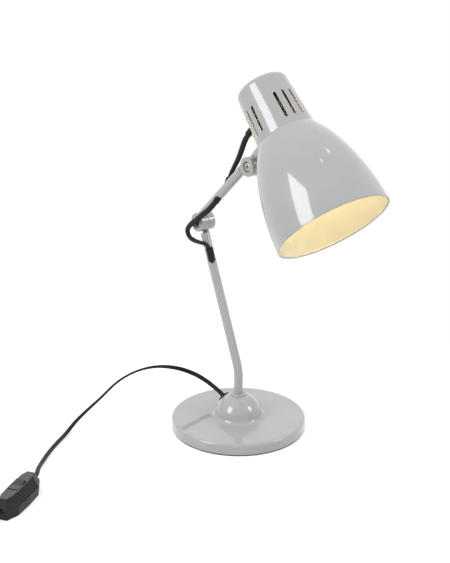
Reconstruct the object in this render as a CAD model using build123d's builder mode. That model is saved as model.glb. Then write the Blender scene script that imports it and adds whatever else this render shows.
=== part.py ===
from build123d import *
import os
from math import atan2, cos, degrees, pi, radians, sin, sqrt, tan

os.makedirs("parts", exist_ok=True)

# An articulated desk lamp. Millimetres, +Z up, the origin on the table under the centre of the base.
# The head reaches towards -Y, every hinge turns about an axis along X, and the mains cord leaves towards +Y.

# Clearances
fit_gap = 0.05  # a part seated in or on another
run_gap = 0.06  # a shaft turning in its hole, on the radius
part_gap = 0.3  # between a part and its neighbour

# Base
base_diameter = 150.0
base_top = 13.6
cover_wall = 2.0
edge_radius = 3.0
lip_thickness = 0.8
lip_width = 4.5
dome_radius = 26.2
foot_fillet = 6.0
plate_thickness = 1.2
pad_thickness = 1.6
pad_inset = 0.8
weight_bore = 34.0
weight_chamfer = 1.0
plate_screw_circle = 92.0
plate_screw_count = 3
screw_head_height = 1.2
screw_head_radius = 3.8
screw_radius = 2.0
screw_length = 9.0
screw_recess_span = 4.6
screw_recess_depth = 0.7

# Stem, which leans back above a bend
tube_diameter = 10.0
tube_wall = 1.0
stem_foot = 28.0
bend_height = 68.2
bend_radius = 50.0
stem_lean = 22.7
stem_reach = 170.0
pin_forward = 2.3
collar_radius = 8.3
collar_height = 2.4
collar_edge = 0.9
collar_sink = 1.8
nut_flats = 17.0
nut_height = 4.6
nut_chamfer = 0.6
washer_thickness = 1.2
washer_radius = 9.0

# Arm from the lower to the upper pivot
arm_length = 118.0
arm_lean = 47.15
arm_side = 4.5
arm_offset = 4.0

# Where the leads leave the tubes: height along the tube, direction around it and lean from its axis
stem_exit = 118.3
stem_exit_around = -122.0
lower_exit = 57.0
lower_exit_around = -134.0
upper_exit = 66.0
upper_exit_around = 78.0
exit_lean = 25.0

# Knuckles, each a pair of half discs face to face
disc_radius = 10.4
disc_thickness = 8.75
disc_edge = 0.5
friction_thickness = 0.5
friction_radius = 9.4
tube_stop = 13.0
spigot_length = 12.0
bore_clear = 0.1
pivot_radius = 2.45
head_radius = 4.7
head_height = 2.4
head_sink = 0.6
head_edge = 0.6
spring_thickness = 1.0
counterbore_radius = 5.9
pivot_nut_flats = 8.0
pivot_nut_height = 4.0
cross_width = 1.1
cross_span = 5.0
cross_depth = 1.5

# Head: the shade's axis points forwards and down from the upper pivot
head_drop = 46.9
head_reach = 65.7
stub_offset = 5.3
shade_wall = 1.0
neck_top_height = 55.3
neck_foot_height = -5.2
neck_top_radius = 26.7
neck_foot_radius = 30.7
cap_corner = 6.0
shoulder_blend = 3.0
shoulder_angle = 36.0
belly_radius = 45.4
belly_depth = 33.1
mouth_radius = 60.1
shade_depth = 111.5
hem_radius = 1.2
slot_width = 3.2
slot_length = 29.8
slot_start = 1.7
slot_pitch = 19.0
slots_in_group = 3
slot_groups = (-96.0, -6.0, 170.0)
entry_height = 30.0
entry_lean = 3.0

# Screw that holds the head's tube to the neck
stub_screw_radius = 1.5
stub_head_radius = 3.2
stub_head_height = 2.0
stub_screw_length = 9.0
stub_recess_span = 3.8
stub_recess_depth = 1.0
stub_end_length = 10.0

# Lampholder and bulb, on the shade's axis
nipple_radius = 4.0
nipple_bore = 2.6
nipple_length = 15.0
nipple_proud = 0.6
cap_nut_flats = 12.0
cap_nut_height = 4.0
lock_nut_height = 3.0
holder_radius = 19.0
holder_wall = 2.0
holder_cap_height = 14.0
holder_cap_top = 9.0
holder_cap_slope = 8.0
holder_shell_height = 40.0
holder_lip = 2.6
core_height = 6.0
contact_radius = 3.0
contact_height = 1.2
bulb_cap_radius = 13.1
bulb_cap_height = 24.0
thread_wall = 0.8
thread_gap = 0.15
bulb_tip_radius = 4.5
bulb_tip_height = 1.4
bulb_radius = 30.0
bulb_length = 96.0
bulb_wall = 1.0
bulb_neck_radius = 12.4
bulb_flare = 50.0
mount_radius = 3.6
mount_length = 36.0
filament_radius = 0.5
filament_span = 18.0
filament_bend = 2.0

# Mains cord, drawn as a round lead of the same section as the flat one
cord_radius = 2.2
cord_lift = 0.05
sleeve_radius = 2.6
lead_radius = 1.9
gland_angle = 26.0
gland_flange_radius = 7.2
gland_flange = 2.0
gland_head = 3.5
gland_neck_radius = 4.4
gland_inside = 12.0
gland_tip_radius = 3.4
cord_start = 20.0
cord_rise = 33.5
switch_straight = 6.0
clamp_thickness = 3.0
clamp_width = 8.0
clamp_height = 6.5
lead_bend = 5.0
lead_bend_start = 6.0
lead_bend_height = 19.6
neck_lead_start = 0.6
neck_lead_low = 31.6
neck_lead_high = 47.4
cap_lead_out = 4.5
cap_lead_in = 4.0
lead_stop = 1.8
arm_lead_end = 0.95
sleeve_start = 2.0
lower_sleeve_out = 20.5
lower_sleeve_in = 27.6
upper_sleeve_out = 19.5
upper_sleeve_in = 28.0

# Boots where the braided sleeves end, and the grommets they leave the arm through
boot_plug_radius = 2.8
boot_plug_start = 4.0
stem_boot_radius = 4.0
stem_boot_start = 8.0
stem_boot_end = 22.8
neck_boot_radius = 3.6
neck_boot_length = 22.0
boot_socket = 6.0
grommet_wall = 0.8
grommet_start = 5.0
grommet_end = 13.0
seat_neck = 0.9
seat_flange_radius = 6.0
seat_flange = 1.4
seat_inside = 3.0

# Switch in the cord
switch_end = (-252.0, 18.0)
switch_heading = 213.0
switch_length = 70.0
switch_width = 27.0
switch_shoulder = 25.4
switch_nose = 13.0
switch_taper = 14.0
seam_height = 9.6
switch_height = 20.4
top_width = 14.0
top_nose = 7.0
top_inset = 6.0
draft_angle = 5.0
shell_wall = 1.6
shell_edge = 1.0
rocker_radius = 9.4
rocker_width = 9.6
rocker_rise = 27.0
rocker_drop = 12.0
rocker_waist = 2.7
rocker_depth = 2.8
rocker_nub = 4.4
rocker_nub_width = 3.0
rocker_tilt = 7.0
rocker_gap = 0.5
rocker_pin_radius = 1.2
rocker_pin_seat = 1.3
well_depth = 5.8
terminal_start = 10.0
terminal_length = 7.0
terminal_width = 8.0
terminal_height = 11.0
bridge_thickness = 0.6
bridge_width = 4.0
case_screw_radius = 1.5
case_screw_head = 2.6
case_screw_sink = 2.2
case_screw_height = 1.6
case_screw_length = 11.0
case_screw_across = 8.0
case_screw_along = 8.0
case_boss_radius = 4.2
case_post_radius = 2.6
case_post_height = 4.2

# Coil of the cord's spare length, out of the way beyond the switch
coil_centre = (-342.8, 27.9)
coil_radius = 38.6
coil_pitch = 5.6
coil_turns = 3
coil_lift = 0.9
layer_rise = 5.3
coil_drop_run = 30.0
coil_straight = 5.4
tie_thickness = 0.6
tie_width = 9.0
tie_slack = 0.4

# Plug
plug_length = 36.0
plug_width = 35.0
plug_height = 14.0
plug_back_width = 20.0
plug_face_width = 27.0
plug_back_taper = 14.0
plug_face_taper = 6.0
plug_edge = 2.0
plug_pin_radius = 2.0
plug_pin_length = 19.0
plug_pin_root = 7.0
plug_pin_spacing = 19.0
relief_length = 22.0
relief_radius = 4.6
relief_tip_radius = 3.2
relief_socket = 4.0


def hexagon_radius(flats):
    """The corner radius of a hexagon of this size across its flats."""
    return flats / 2 / cos(radians(30))


def tube_exit(frame, height, around, lean, up):
    """The plane across a lead that leaves a tube's axis at this height, leaning outwards."""
    outward = Vector(cos(radians(around)), sin(radians(around)), 0)
    heading = outward * sin(radians(lean)) + Vector(0, 0, up) * cos(radians(lean))
    start = frame.from_local_coords(Vector(0, 0, height))
    tip = frame.from_local_coords(Vector(0, 0, height) + heading)
    return Plane(origin=start, z_dir=tip - start)


def corner_radii(points):
    """For each corner, the largest arc that leaves a tenth of the shorter run straight."""
    radii = []
    for before, here, after in zip(points, points[1:], points[2:]):
        run_in = Vector(here) - Vector(before)
        run_out = Vector(after) - Vector(here)
        turn = radians(run_in.get_angle(run_out))
        radii.append(0.45 * min(run_in.length, run_out.length) / tan(turn / 2))
    return radii


def cord_tube(points, radius, radii):
    """A round cord along straight runs joined by tangent arcs, one radius for each corner."""
    with BuildPart() as tube:
        with BuildLine() as route:
            FilletPolyline(*points, radius=radii)
        with BuildSketch(Plane(origin=points[0], z_dir=Vector(points[1]) - Vector(points[0]))):
            Circle(radius)
        sweep(path=route.wires()[0])
    length = route.wires()[0].length
    ratio = tube.part.volume / (length * pi * radius**2)
    print("cord length", round(length, 1), "volume to section times length", round(ratio, 4))
    print("  radii", [round(corner, 1) for corner in radii])
    return tube


# Frames of the stem, the arm and the head, worked out from the leans and lengths
stem_up = Vector(0, sin(radians(stem_lean)), cos(radians(stem_lean)))
stem_frame = Plane(origin=(0, 0, bend_height), x_dir=(1, 0, 0), z_dir=stem_up)
lower_pin = stem_frame.from_local_coords(Vector(0, -pin_forward, stem_reach))
arm_up = Vector(0, -sin(radians(arm_lean)), cos(radians(arm_lean)))
arm_frame = Plane(origin=lower_pin, x_dir=(1, 0, 0), z_dir=arm_up)
upper_pin = arm_frame.from_local_coords(Vector(0, 0, arm_length))
to_cap = Vector(0, cos(radians(head_drop)), sin(radians(head_drop)))
to_front = Vector(0, -sin(radians(head_drop)), cos(radians(head_drop)))
head_origin = upper_pin + to_front * head_reach
head_frame = Plane(origin=head_origin, x_dir=(1, 0, 0), z_dir=to_cap)
head_axis = Axis(head_origin, to_cap)
head_profile = Plane(origin=head_origin, x_dir=(1, 0, 0), z_dir=to_front)
tube_radius = tube_diameter / 2
tube_bore = tube_radius - tube_wall

# Base cover: disc, foot fillet and dome in one pressing, with a lip crimped under the plate
base_radius = base_diameter / 2
lip_top = pad_thickness + lip_thickness
dome_peak = base_top + dome_radius
collar_seat = dome_peak - collar_sink


def cover_region(inset, floor):
    """The half section under the cover's skin, moved inwards by inset, down to floor."""
    wall = base_radius - inset
    top = base_top - inset
    ball = dome_radius - inset
    corner = max(edge_radius - inset, part_gap)
    reach = dome_radius + foot_fillet
    foot_x = sqrt(reach**2 - foot_fillet**2)
    meet = (foot_x * ball / reach, base_top + foot_fillet * ball / reach)
    with BuildSketch(Plane.XZ) as region:
        with BuildLine():
            Line((0, floor), (wall, floor))
            Line((wall, floor), (wall, top - corner))
            edge = RadiusArc((wall, top - corner), (wall - corner, top), -corner)
            Line(edge @ 1, (foot_x, top))
            foot = TangentArc((foot_x, top), meet, tangent=(-1, 0))
            TangentArc(foot @ 1, (0, base_top + ball), tangent=foot % 1)
            Line((0, base_top + ball), (0, floor))
        make_face()
    return region.sketch


gland_out = Vector(0, cos(radians(gland_angle)), sin(radians(gland_angle)))
dome_centre = Vector(0, 0, base_top)
gland_frame = Plane(origin=dome_centre, x_dir=(1, 0, 0), z_dir=gland_out)

with BuildPart() as base_cover:
    revolve(cover_region(0, pad_thickness), axis=Axis.Z)
    revolve(cover_region(cover_wall, lip_top), axis=Axis.Z, mode=Mode.SUBTRACT)
    with BuildSketch(Plane.XY):
        Circle(base_radius - lip_width)
    extrude(amount=lip_top, mode=Mode.SUBTRACT)
    with BuildSketch(Plane.XY.offset(collar_seat)):
        Circle(collar_radius + part_gap)
    extrude(amount=collar_sink, mode=Mode.SUBTRACT)
    with BuildSketch(Plane.XY.offset(base_top)):
        Circle(tube_radius + fit_gap)
    extrude(amount=dome_radius, mode=Mode.SUBTRACT)
    with BuildSketch(gland_frame):
        Circle(gland_neck_radius + fit_gap)
    extrude(amount=dome_radius + foot_fillet, mode=Mode.SUBTRACT)
base_cover.part.label = "base_cover"
export_step(base_cover.part, "parts/base_cover.step")

plate_radius = base_radius - cover_wall - part_gap
plate_top = lip_top + plate_thickness

with BuildPart() as base_plate:
    with BuildSketch(Plane.XY.offset(lip_top)):
        Circle(plate_radius)
        with PolarLocations(plate_screw_circle / 2, plate_screw_count):
            Circle(screw_radius + fit_gap, mode=Mode.SUBTRACT)
    extrude(amount=plate_thickness)
base_plate.part.label = "base_plate"
export_step(base_plate.part, "parts/base_plate.step")

weight_top = base_top - cover_wall - part_gap

with BuildPart() as base_weight:
    with BuildSketch(Plane.XY.offset(plate_top)):
        Circle(plate_radius - part_gap)
        Circle(weight_bore / 2, mode=Mode.SUBTRACT)
        with PolarLocations(plate_screw_circle / 2, plate_screw_count):
            Circle(screw_radius + fit_gap, mode=Mode.SUBTRACT)
    extrude(amount=weight_top - plate_top)
    top_edges = base_weight.edges().group_by(Axis.Z)[-1].filter_by(GeomType.CIRCLE)
    chamfer(top_edges.sort_by(SortBy.LENGTH)[-1], weight_chamfer)
base_weight.part.label = "base_weight"
export_step(base_weight.part, "parts/base_weight.step")

with BuildPart() as base_pad:
    with BuildSketch(Plane.XY):
        Circle(base_radius - pad_inset)
    extrude(amount=pad_thickness)
    with BuildSketch(Plane.XY):
        Circle(base_radius - lip_width - part_gap)
    extrude(amount=lip_top)
    with BuildSketch(Plane.XY):
        with PolarLocations(plate_screw_circle / 2, plate_screw_count):
            Circle(screw_head_radius + part_gap)
    extrude(amount=lip_top, mode=Mode.SUBTRACT)
base_pad.part.label = "base_pad"
export_step(base_pad.part, "parts/base_pad.step")

with BuildPart() as plate_screws:
    with BuildSketch(Plane.XY.offset(lip_top - screw_head_height)):
        with PolarLocations(plate_screw_circle / 2, plate_screw_count):
            Circle(screw_head_radius)
    extrude(amount=screw_head_height)
    with BuildSketch(Plane.XY.offset(lip_top - screw_head_height)):
        with PolarLocations(plate_screw_circle / 2, plate_screw_count):
            Circle(screw_radius)
    extrude(amount=screw_head_height + min(screw_length, weight_top - lip_top))
    with BuildSketch(Plane.XY.offset(lip_top - screw_head_height)):
        with PolarLocations(plate_screw_circle / 2, plate_screw_count):
            Rectangle(screw_recess_span, cross_width)
            Rectangle(cross_width, screw_recess_span)
    extrude(amount=screw_recess_depth, mode=Mode.SUBTRACT)
plate_screws.part.label = "plate_screws"
export_step(plate_screws.part, "parts/plate_screws.step")

# Stem: one tube, upright through the dome and bent back above it
stem_top = stem_frame.from_local_coords(Vector(0, 0, stem_reach - tube_stop))
stem_outlet = tube_exit(stem_frame, stem_exit, stem_exit_around, exit_lean, 1)

with BuildPart() as stem_tube:
    with BuildLine() as stem_route:
        FilletPolyline((0, 0, stem_foot), (0, 0, bend_height), stem_top, radius=bend_radius)
    with BuildSketch(Plane.XY.offset(stem_foot)):
        Circle(tube_radius)
        Circle(tube_bore, mode=Mode.SUBTRACT)
    sweep(path=stem_route.wires()[0])
    with BuildSketch(stem_outlet):
        Circle(boot_plug_radius + fit_gap)
    extrude(amount=stem_boot_end, mode=Mode.SUBTRACT)
stem_tube.part.label = "stem_tube"
export_step(stem_tube.part, "parts/stem_tube.step")

with BuildPart() as stem_collar:
    with BuildSketch(Plane.XY.offset(collar_seat)):
        Circle(collar_radius)
        Circle(tube_radius + fit_gap, mode=Mode.SUBTRACT)
    extrude(amount=collar_height)
    fillet(stem_collar.edges().group_by(Axis.Z)[-1].sort_by(SortBy.LENGTH)[-1], collar_edge)
stem_collar.part.label = "stem_collar"
export_step(stem_collar.part, "parts/stem_collar.step")

inner_ball = dome_radius - cover_wall
dome_under = base_top + sqrt(inner_ball**2 - washer_radius**2)

with BuildPart() as stem_washer:
    with BuildSketch(Plane.XY.offset(dome_under - washer_thickness)):
        Circle(washer_radius - fit_gap)
        Circle(tube_radius + fit_gap, mode=Mode.SUBTRACT)
    extrude(amount=washer_thickness - fit_gap)
stem_washer.part.label = "stem_washer"
export_step(stem_washer.part, "parts/stem_washer.step")

with BuildPart() as stem_nut:
    with BuildSketch(Plane.XY.offset(dome_under - washer_thickness - nut_height)):
        RegularPolygon(hexagon_radius(nut_flats), 6)
        Circle(tube_radius + fit_gap, mode=Mode.SUBTRACT)
    extrude(amount=nut_height)
    chamfer(stem_nut.edges().group_by(Axis.Z)[0].filter_by(GeomType.LINE), nut_chamfer)
stem_nut.part.label = "stem_nut"
export_step(stem_nut.part, "parts/stem_nut.step")

# Cord gland through the back of the dome, with the clamp that grips the cord behind it
gland_start = dome_radius - gland_inside
gland_seat = sqrt(dome_radius**2 - gland_flange_radius**2)

with BuildPart() as cord_gland:
    with BuildSketch(gland_frame.offset(gland_seat)):
        Circle(gland_flange_radius)
    extrude(amount=dome_radius - gland_seat + gland_flange)
    with BuildSketch(gland_frame.offset(dome_radius)):
        Circle(gland_neck_radius)
    extrude(amount=gland_head)
    with Locations(dome_centre):
        Sphere(dome_radius + fit_gap, mode=Mode.SUBTRACT)
    with BuildSketch(gland_frame.offset(gland_start)):
        Circle(gland_tip_radius)
    with BuildSketch(gland_frame.offset(gland_seat)):
        Circle(gland_neck_radius)
    loft()
    with BuildSketch(gland_frame.offset(gland_seat)):
        Circle(gland_neck_radius)
    extrude(amount=dome_radius - gland_seat + gland_flange)
    with BuildSketch(gland_frame.offset(gland_start)):
        Circle(cord_radius + fit_gap)
    extrude(amount=gland_inside + gland_head, mode=Mode.SUBTRACT)
cord_gland.part.label = "cord_gland"
export_step(cord_gland.part, "parts/cord_gland.step")

# Clamp on the lead behind the gland, and the lead from there up the inside of the stem
clamp_start = gland_start - part_gap - clamp_thickness

with BuildPart() as cord_clamp:
    with BuildSketch(gland_frame.offset(clamp_start)):
        Rectangle(clamp_width, clamp_height)
        Circle(lead_radius + fit_gap, mode=Mode.SUBTRACT)
    extrude(amount=clamp_thickness)
cord_clamp.part.label = "cord_clamp"
export_step(cord_clamp.part, "parts/cord_clamp.step")

lead_points = [
    gland_frame.offset(cord_start).origin,
    gland_frame.offset(lead_bend_start).origin,
    (0, 0, lead_bend_height),
    (0, 0, bend_height),
    stem_frame.from_local_coords(Vector(0, 0, stem_exit + lead_stop)),
]
stem_lead = cord_tube(lead_points, lead_radius, [lead_bend, lead_bend, bend_radius])
stem_lead.part.label = "stem_lead"
export_step(stem_lead.part, "parts/stem_lead.step")

# Boot that takes the lower sleeve out of the stem, resting along the tube
with BuildPart() as stem_boot:
    with BuildSketch(stem_outlet.offset(stem_boot_start)):
        Circle(stem_boot_radius)
    extrude(amount=stem_boot_end - stem_boot_start)
    with BuildSketch(stem_frame.offset(stem_exit - stem_boot_end)):
        Circle(tube_radius + fit_gap)
    extrude(amount=3 * stem_boot_end, mode=Mode.SUBTRACT)
    with BuildSketch(stem_outlet.offset(boot_plug_start)):
        Circle(boot_plug_radius)
    extrude(amount=stem_boot_end - boot_socket - boot_plug_start)
    with BuildSketch(stem_outlet.offset(stem_boot_end - boot_socket)):
        Circle(sleeve_radius + fit_gap)
    extrude(amount=boot_socket, mode=Mode.SUBTRACT)
stem_boot.part.label = "stem_boot"
export_step(stem_boot.part, "parts/stem_boot.step")

# Knuckles: the near half of each is the arm's, the far halves are the stem's and the head's
knuckle_span = 2 * disc_thickness + friction_thickness
seat_depth = head_sink + head_height + spring_thickness


def knuckle_face(pin, side):
    """The outer face of a half knuckle, whose side is -1 towards -X and 1 towards +X."""
    return Plane(origin=pin + Vector(side * knuckle_span / 2, 0, 0), x_dir=(0, 0, 1), z_dir=(side, 0, 0))


def half_knuckle(frame, side, tube_x, tube_y, hole_radius):
    """A disc on the hinge pin with a tang into its tube, which runs along the frame's z."""
    slab = disc_thickness - disc_edge
    slab_place = (side * (friction_thickness + slab) / 2, tube_y)
    with BuildPart() as half:
        with BuildSketch(knuckle_face(frame.origin, side)):
            Circle(disc_radius)
        extrude(amount=-disc_thickness)
        fillet(half.edges().sort_by(Axis(frame.origin, (side, 0, 0)))[-1], disc_edge)
        with BuildSketch(frame):
            with Locations((tube_x, tube_y)):
                Circle(tube_radius)
            with Locations(slab_place):
                Rectangle(slab, 4 * disc_radius, mode=Mode.INTERSECT)
        extrude(amount=tube_stop)
        with BuildSketch(frame.offset(tube_stop)):
            with Locations((tube_x, tube_y)):
                Circle(tube_bore - bore_clear)
            with Locations(slab_place):
                Rectangle(slab, 4 * disc_radius, mode=Mode.INTERSECT)
        extrude(amount=spigot_length)
        with BuildSketch(knuckle_face(frame.origin, side)):
            Circle(hole_radius)
        extrude(amount=-disc_thickness, mode=Mode.SUBTRACT)
    return half


def screw_seat(half, pin):
    """The half knuckle with the counterbore for the screw's head and spring washer."""
    with BuildPart() as seated:
        add(half.part)
        with BuildSketch(knuckle_face(pin, -1)):
            Circle(counterbore_radius)
        extrude(amount=-seat_depth, mode=Mode.SUBTRACT)
    return seated


def nut_seat(half, pin):
    """The half knuckle with the hexagonal pocket for the nut."""
    with BuildPart() as seated:
        add(half.part)
        with BuildSketch(knuckle_face(pin, 1)):
            RegularPolygon(hexagon_radius(pivot_nut_flats) + fit_gap, 6)
        extrude(amount=-pivot_nut_height - head_sink, mode=Mode.SUBTRACT)
    return seated


def pivot_screw(pin):
    """A screw with a cross recess, from the near half's counterbore to the nut."""
    seat = knuckle_face(pin, -1).offset(-head_sink - head_height)
    with BuildPart() as screw:
        with BuildSketch(seat):
            Circle(head_radius)
        extrude(amount=head_height)
        fillet(screw.edges().sort_by(Axis.X)[0], head_edge)
        with BuildSketch(seat):
            Circle(pivot_radius)
        extrude(amount=2 * head_sink + head_height - knuckle_span)
        with BuildSketch(seat.offset(head_height)):
            Rectangle(cross_span, cross_width)
            Rectangle(cross_width, cross_span)
        extrude(amount=-cross_depth, mode=Mode.SUBTRACT)
    return screw


def pivot_rings(start, thickness, radius):
    """A ring around each pivot screw; start is its distance inside the near face."""
    with BuildPart() as rings:
        for pin in (lower_pin, upper_pin):
            with BuildSketch(knuckle_face(pin, -1).offset(-start - thickness)):
                Circle(radius)
                Circle(pivot_radius + fit_gap, mode=Mode.SUBTRACT)
            extrude(amount=thickness)
    return rings


def pivot_nut(pin):
    """The nut in the far half's pocket."""
    with BuildPart() as nut:
        with BuildSketch(knuckle_face(pin, 1).offset(-head_sink - pivot_nut_height)):
            RegularPolygon(hexagon_radius(pivot_nut_flats), 6)
            Circle(pivot_radius + fit_gap, mode=Mode.SUBTRACT)
        extrude(amount=pivot_nut_height)
    return nut


stem_hinge_frame = Plane(origin=lower_pin, x_dir=(1, 0, 0), z_dir=stem_up * -1)
arm_top_frame = Plane(origin=upper_pin, x_dir=(1, 0, 0), z_dir=arm_up * -1)
head_hinge_frame = Plane(origin=upper_pin, x_dir=(1, 0, 0), z_dir=to_front)
fixed_hole = pivot_radius + fit_gap
turning_hole = pivot_radius + run_gap

stem_knuckle = nut_seat(half_knuckle(stem_hinge_frame, 1, 0, -pin_forward, fixed_hole), lower_pin)
stem_knuckle.part.label = "stem_knuckle"
export_step(stem_knuckle.part, "parts/stem_knuckle.step")

arm_knuckle_low = screw_seat(half_knuckle(arm_frame, -1, -arm_side, arm_offset, turning_hole), lower_pin)
arm_knuckle_low.part.label = "arm_knuckle_low"
export_step(arm_knuckle_low.part, "parts/arm_knuckle_low.step")

arm_knuckle_high = screw_seat(
    half_knuckle(arm_top_frame, -1, -arm_side, -arm_offset, turning_hole), upper_pin
)
arm_knuckle_high.part.label = "arm_knuckle_high"
export_step(arm_knuckle_high.part, "parts/arm_knuckle_high.step")

head_knuckle = nut_seat(half_knuckle(head_hinge_frame, 1, 0, stub_offset, fixed_hole), upper_pin)
head_knuckle.part.label = "head_knuckle"
export_step(head_knuckle.part, "parts/head_knuckle.step")

for place, pin in (("lower", lower_pin), ("upper", upper_pin)):
    screw = pivot_screw(pin)
    screw.part.label = place + "_pivot_screw"
    export_step(screw.part, "parts/" + place + "_pivot_screw.step")

    nut = pivot_nut(pin)
    nut.part.label = place + "_pivot_nut"
    export_step(nut.part, "parts/" + place + "_pivot_nut.step")

spring_washers = pivot_rings(head_sink + head_height, spring_thickness, head_radius)
spring_washers.part.label = "spring_washers"
export_step(spring_washers.part, "parts/spring_washers.step")

friction_washers = pivot_rings(disc_thickness, friction_thickness, friction_radius)
friction_washers.part.label = "friction_washers"
export_step(friction_washers.part, "parts/friction_washers.step")

# Arm: a tube beside and behind the line of the pins, with the lead's way in and out
arm_tube_frame = Plane(
    origin=arm_frame.from_local_coords(Vector(-arm_side, arm_offset, 0)), x_dir=(1, 0, 0), z_dir=arm_up
)
lower_outlet = tube_exit(arm_tube_frame, lower_exit, lower_exit_around, exit_lean, -1)
upper_outlet = tube_exit(arm_tube_frame, upper_exit, upper_exit_around, exit_lean, 1)
grommet_radius = sleeve_radius + fit_gap + grommet_wall

with BuildPart() as arm_tube:
    with BuildSketch(arm_tube_frame.offset(tube_stop)):
        Circle(tube_radius)
        Circle(tube_bore, mode=Mode.SUBTRACT)
    extrude(amount=arm_length - 2 * tube_stop)
    for outlet in (lower_outlet, upper_outlet):
        with BuildSketch(outlet):
            Circle(grommet_radius + fit_gap)
        extrude(amount=2 * grommet_end, mode=Mode.SUBTRACT)
arm_tube.part.label = "arm_tube"
export_step(arm_tube.part, "parts/arm_tube.step")

with BuildPart() as arm_grommets:
    for outlet in (lower_outlet, upper_outlet):
        with BuildSketch(outlet.offset(grommet_start)):
            Circle(grommet_radius)
            Circle(sleeve_radius + fit_gap, mode=Mode.SUBTRACT)
        extrude(amount=grommet_end - grommet_start)
arm_grommets.part.label = "arm_grommets"
export_step(arm_grommets.part, "parts/arm_grommets.step")

with BuildPart() as arm_lead:
    with BuildSketch(arm_tube_frame.offset(lower_exit - arm_lead_end)):
        Circle(lead_radius)
    extrude(amount=upper_exit - lower_exit + 2 * arm_lead_end)
arm_lead.part.label = "arm_lead"
export_step(arm_lead.part, "parts/arm_lead.step")

# Lower sleeve: out of the arm, around the near side of the pivot and into the boot on the stem
lower_points = [
    lower_outlet.offset(sleeve_start).origin,
    lower_outlet.offset(lower_sleeve_out).origin,
    (-14.2, 46.0, 240.0),
    (-14.6, 56.5, 231.5),
    (-14.2, 68.0, 224.0),
    (-12.9, 77.5, 214.5),
    (-11.2, 73.5, 205.0),
    (-8.6, 61.5, 203.6),
    stem_outlet.offset(lower_sleeve_in).origin,
    stem_outlet.offset(stem_boot_end - boot_socket + fit_gap).origin,
]
lower_sleeve = cord_tube(lower_points, sleeve_radius, corner_radii(lower_points))
lower_sleeve.part.label = "lower_sleeve"
export_step(lower_sleeve.part, "parts/lower_sleeve.step")

# Where the upper sleeve enters the back of the neck
neck_length = neck_top_height - neck_foot_height
neck_slope = (neck_foot_radius - neck_top_radius) / neck_length
entry_radius = neck_foot_radius - neck_slope * (entry_height - neck_foot_height)
entry_point = head_frame.from_local_coords(Vector(0, entry_radius, entry_height))
entry_tip = head_frame.from_local_coords(
    Vector(0, entry_radius + cos(radians(entry_lean)), entry_height - sin(radians(entry_lean)))
)
neck_entry = Plane(origin=entry_point, x_dir=(1, 0, 0), z_dir=entry_tip - entry_point)
neck_socket = neck_boot_length - boot_socket

with BuildPart() as neck_boot:
    with BuildSketch(neck_entry.offset(-seat_inside)):
        Circle(neck_boot_radius)
    extrude(amount=seat_inside + neck_boot_length)
    with BuildSketch(neck_entry.offset(neck_socket)):
        Circle(sleeve_radius + fit_gap)
    extrude(amount=boot_socket, mode=Mode.SUBTRACT)
neck_boot.part.label = "neck_boot"
export_step(neck_boot.part, "parts/neck_boot.step")

upper_points = [
    upper_outlet.offset(sleeve_start).origin,
    upper_outlet.offset(upper_sleeve_out).origin,
    (-2.2, 6.2, 299.0),
    (-1.3, -0.8, 310.5),
    (-0.8, -5.2, 320.6),
    neck_entry.offset(upper_sleeve_in).origin,
    neck_entry.offset(neck_socket + fit_gap).origin,
]
upper_sleeve = cord_tube(upper_points, sleeve_radius, corner_radii(upper_points))
upper_sleeve.part.label = "upper_sleeve"
export_step(upper_sleeve.part, "parts/upper_sleeve.step")

# Shade: slotted neck, shoulder and bell in one spun shell with a rolled rim
neck_angle = degrees(atan2(neck_foot_radius - neck_top_radius, neck_length))
stub_frame = Plane(origin=upper_pin + to_cap * stub_offset, x_dir=(1, 0, 0), z_dir=to_front)
seat_radius = neck_boot_radius + fit_gap + seat_neck

with BuildPart() as shade:
    with BuildSketch(head_profile) as shade_section:
        with BuildLine():
            neck_side = Line((neck_top_radius, neck_top_height), (neck_foot_radius, neck_foot_height))
            blend = JernArc(neck_side @ 1, neck_side % 1, shoulder_blend, shoulder_angle - neck_angle)
            upper_bell = TangentArc(blend @ 1, (belly_radius, -belly_depth), tangent=blend % 1)
            lower_bell = TangentArc(upper_bell @ 1, (mouth_radius, -shade_depth), tangent=upper_bell % 1)
            Polyline(lower_bell @ 1, (0, -shade_depth), (0, neck_top_height), neck_side @ 0)
        make_face()
        top_corner = shade_section.vertices().sort_by_distance((neck_top_radius, neck_top_height, 0))[0]
        fillet(top_corner, cap_corner)
    revolve(axis=head_axis)
    offset(amount=-shade_wall, openings=shade.faces().sort_by(head_axis)[0])
    with BuildSketch(head_profile):
        with Locations((mouth_radius - hem_radius, hem_radius - shade_depth)):
            Circle(hem_radius)
    revolve(axis=head_axis)
    slot_middle = head_frame.from_local_coords(Vector(0, 0, slot_start + slot_length / 2))
    for group in slot_groups:
        for index in range(slots_in_group):
            around = radians(group + slot_pitch * (index - (slots_in_group - 1) / 2))
            outward = head_frame.from_local_coords(Vector(cos(around), sin(around), 0)) - head_origin
            with BuildSketch(Plane(origin=slot_middle, x_dir=to_cap, z_dir=outward)):
                SlotOverall(slot_length, slot_width)
            extrude(amount=neck_foot_radius + slot_width, mode=Mode.SUBTRACT)
    with BuildSketch(head_frame.offset(neck_top_height - 2 * shade_wall)):
        Circle(nipple_radius + fit_gap)
    extrude(amount=3 * shade_wall, mode=Mode.SUBTRACT)
    with BuildSketch(stub_frame.offset(head_reach - neck_foot_radius - shade_wall)):
        Circle(stub_screw_radius + fit_gap)
    extrude(amount=4 * shade_wall, mode=Mode.SUBTRACT)
    with BuildSketch(neck_entry):
        Circle(seat_radius + fit_gap)
    extrude(amount=seat_inside + shade_wall, both=True, mode=Mode.SUBTRACT)
shade.part.label = "shade"
export_step(shade.part, "parts/shade.step")

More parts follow.
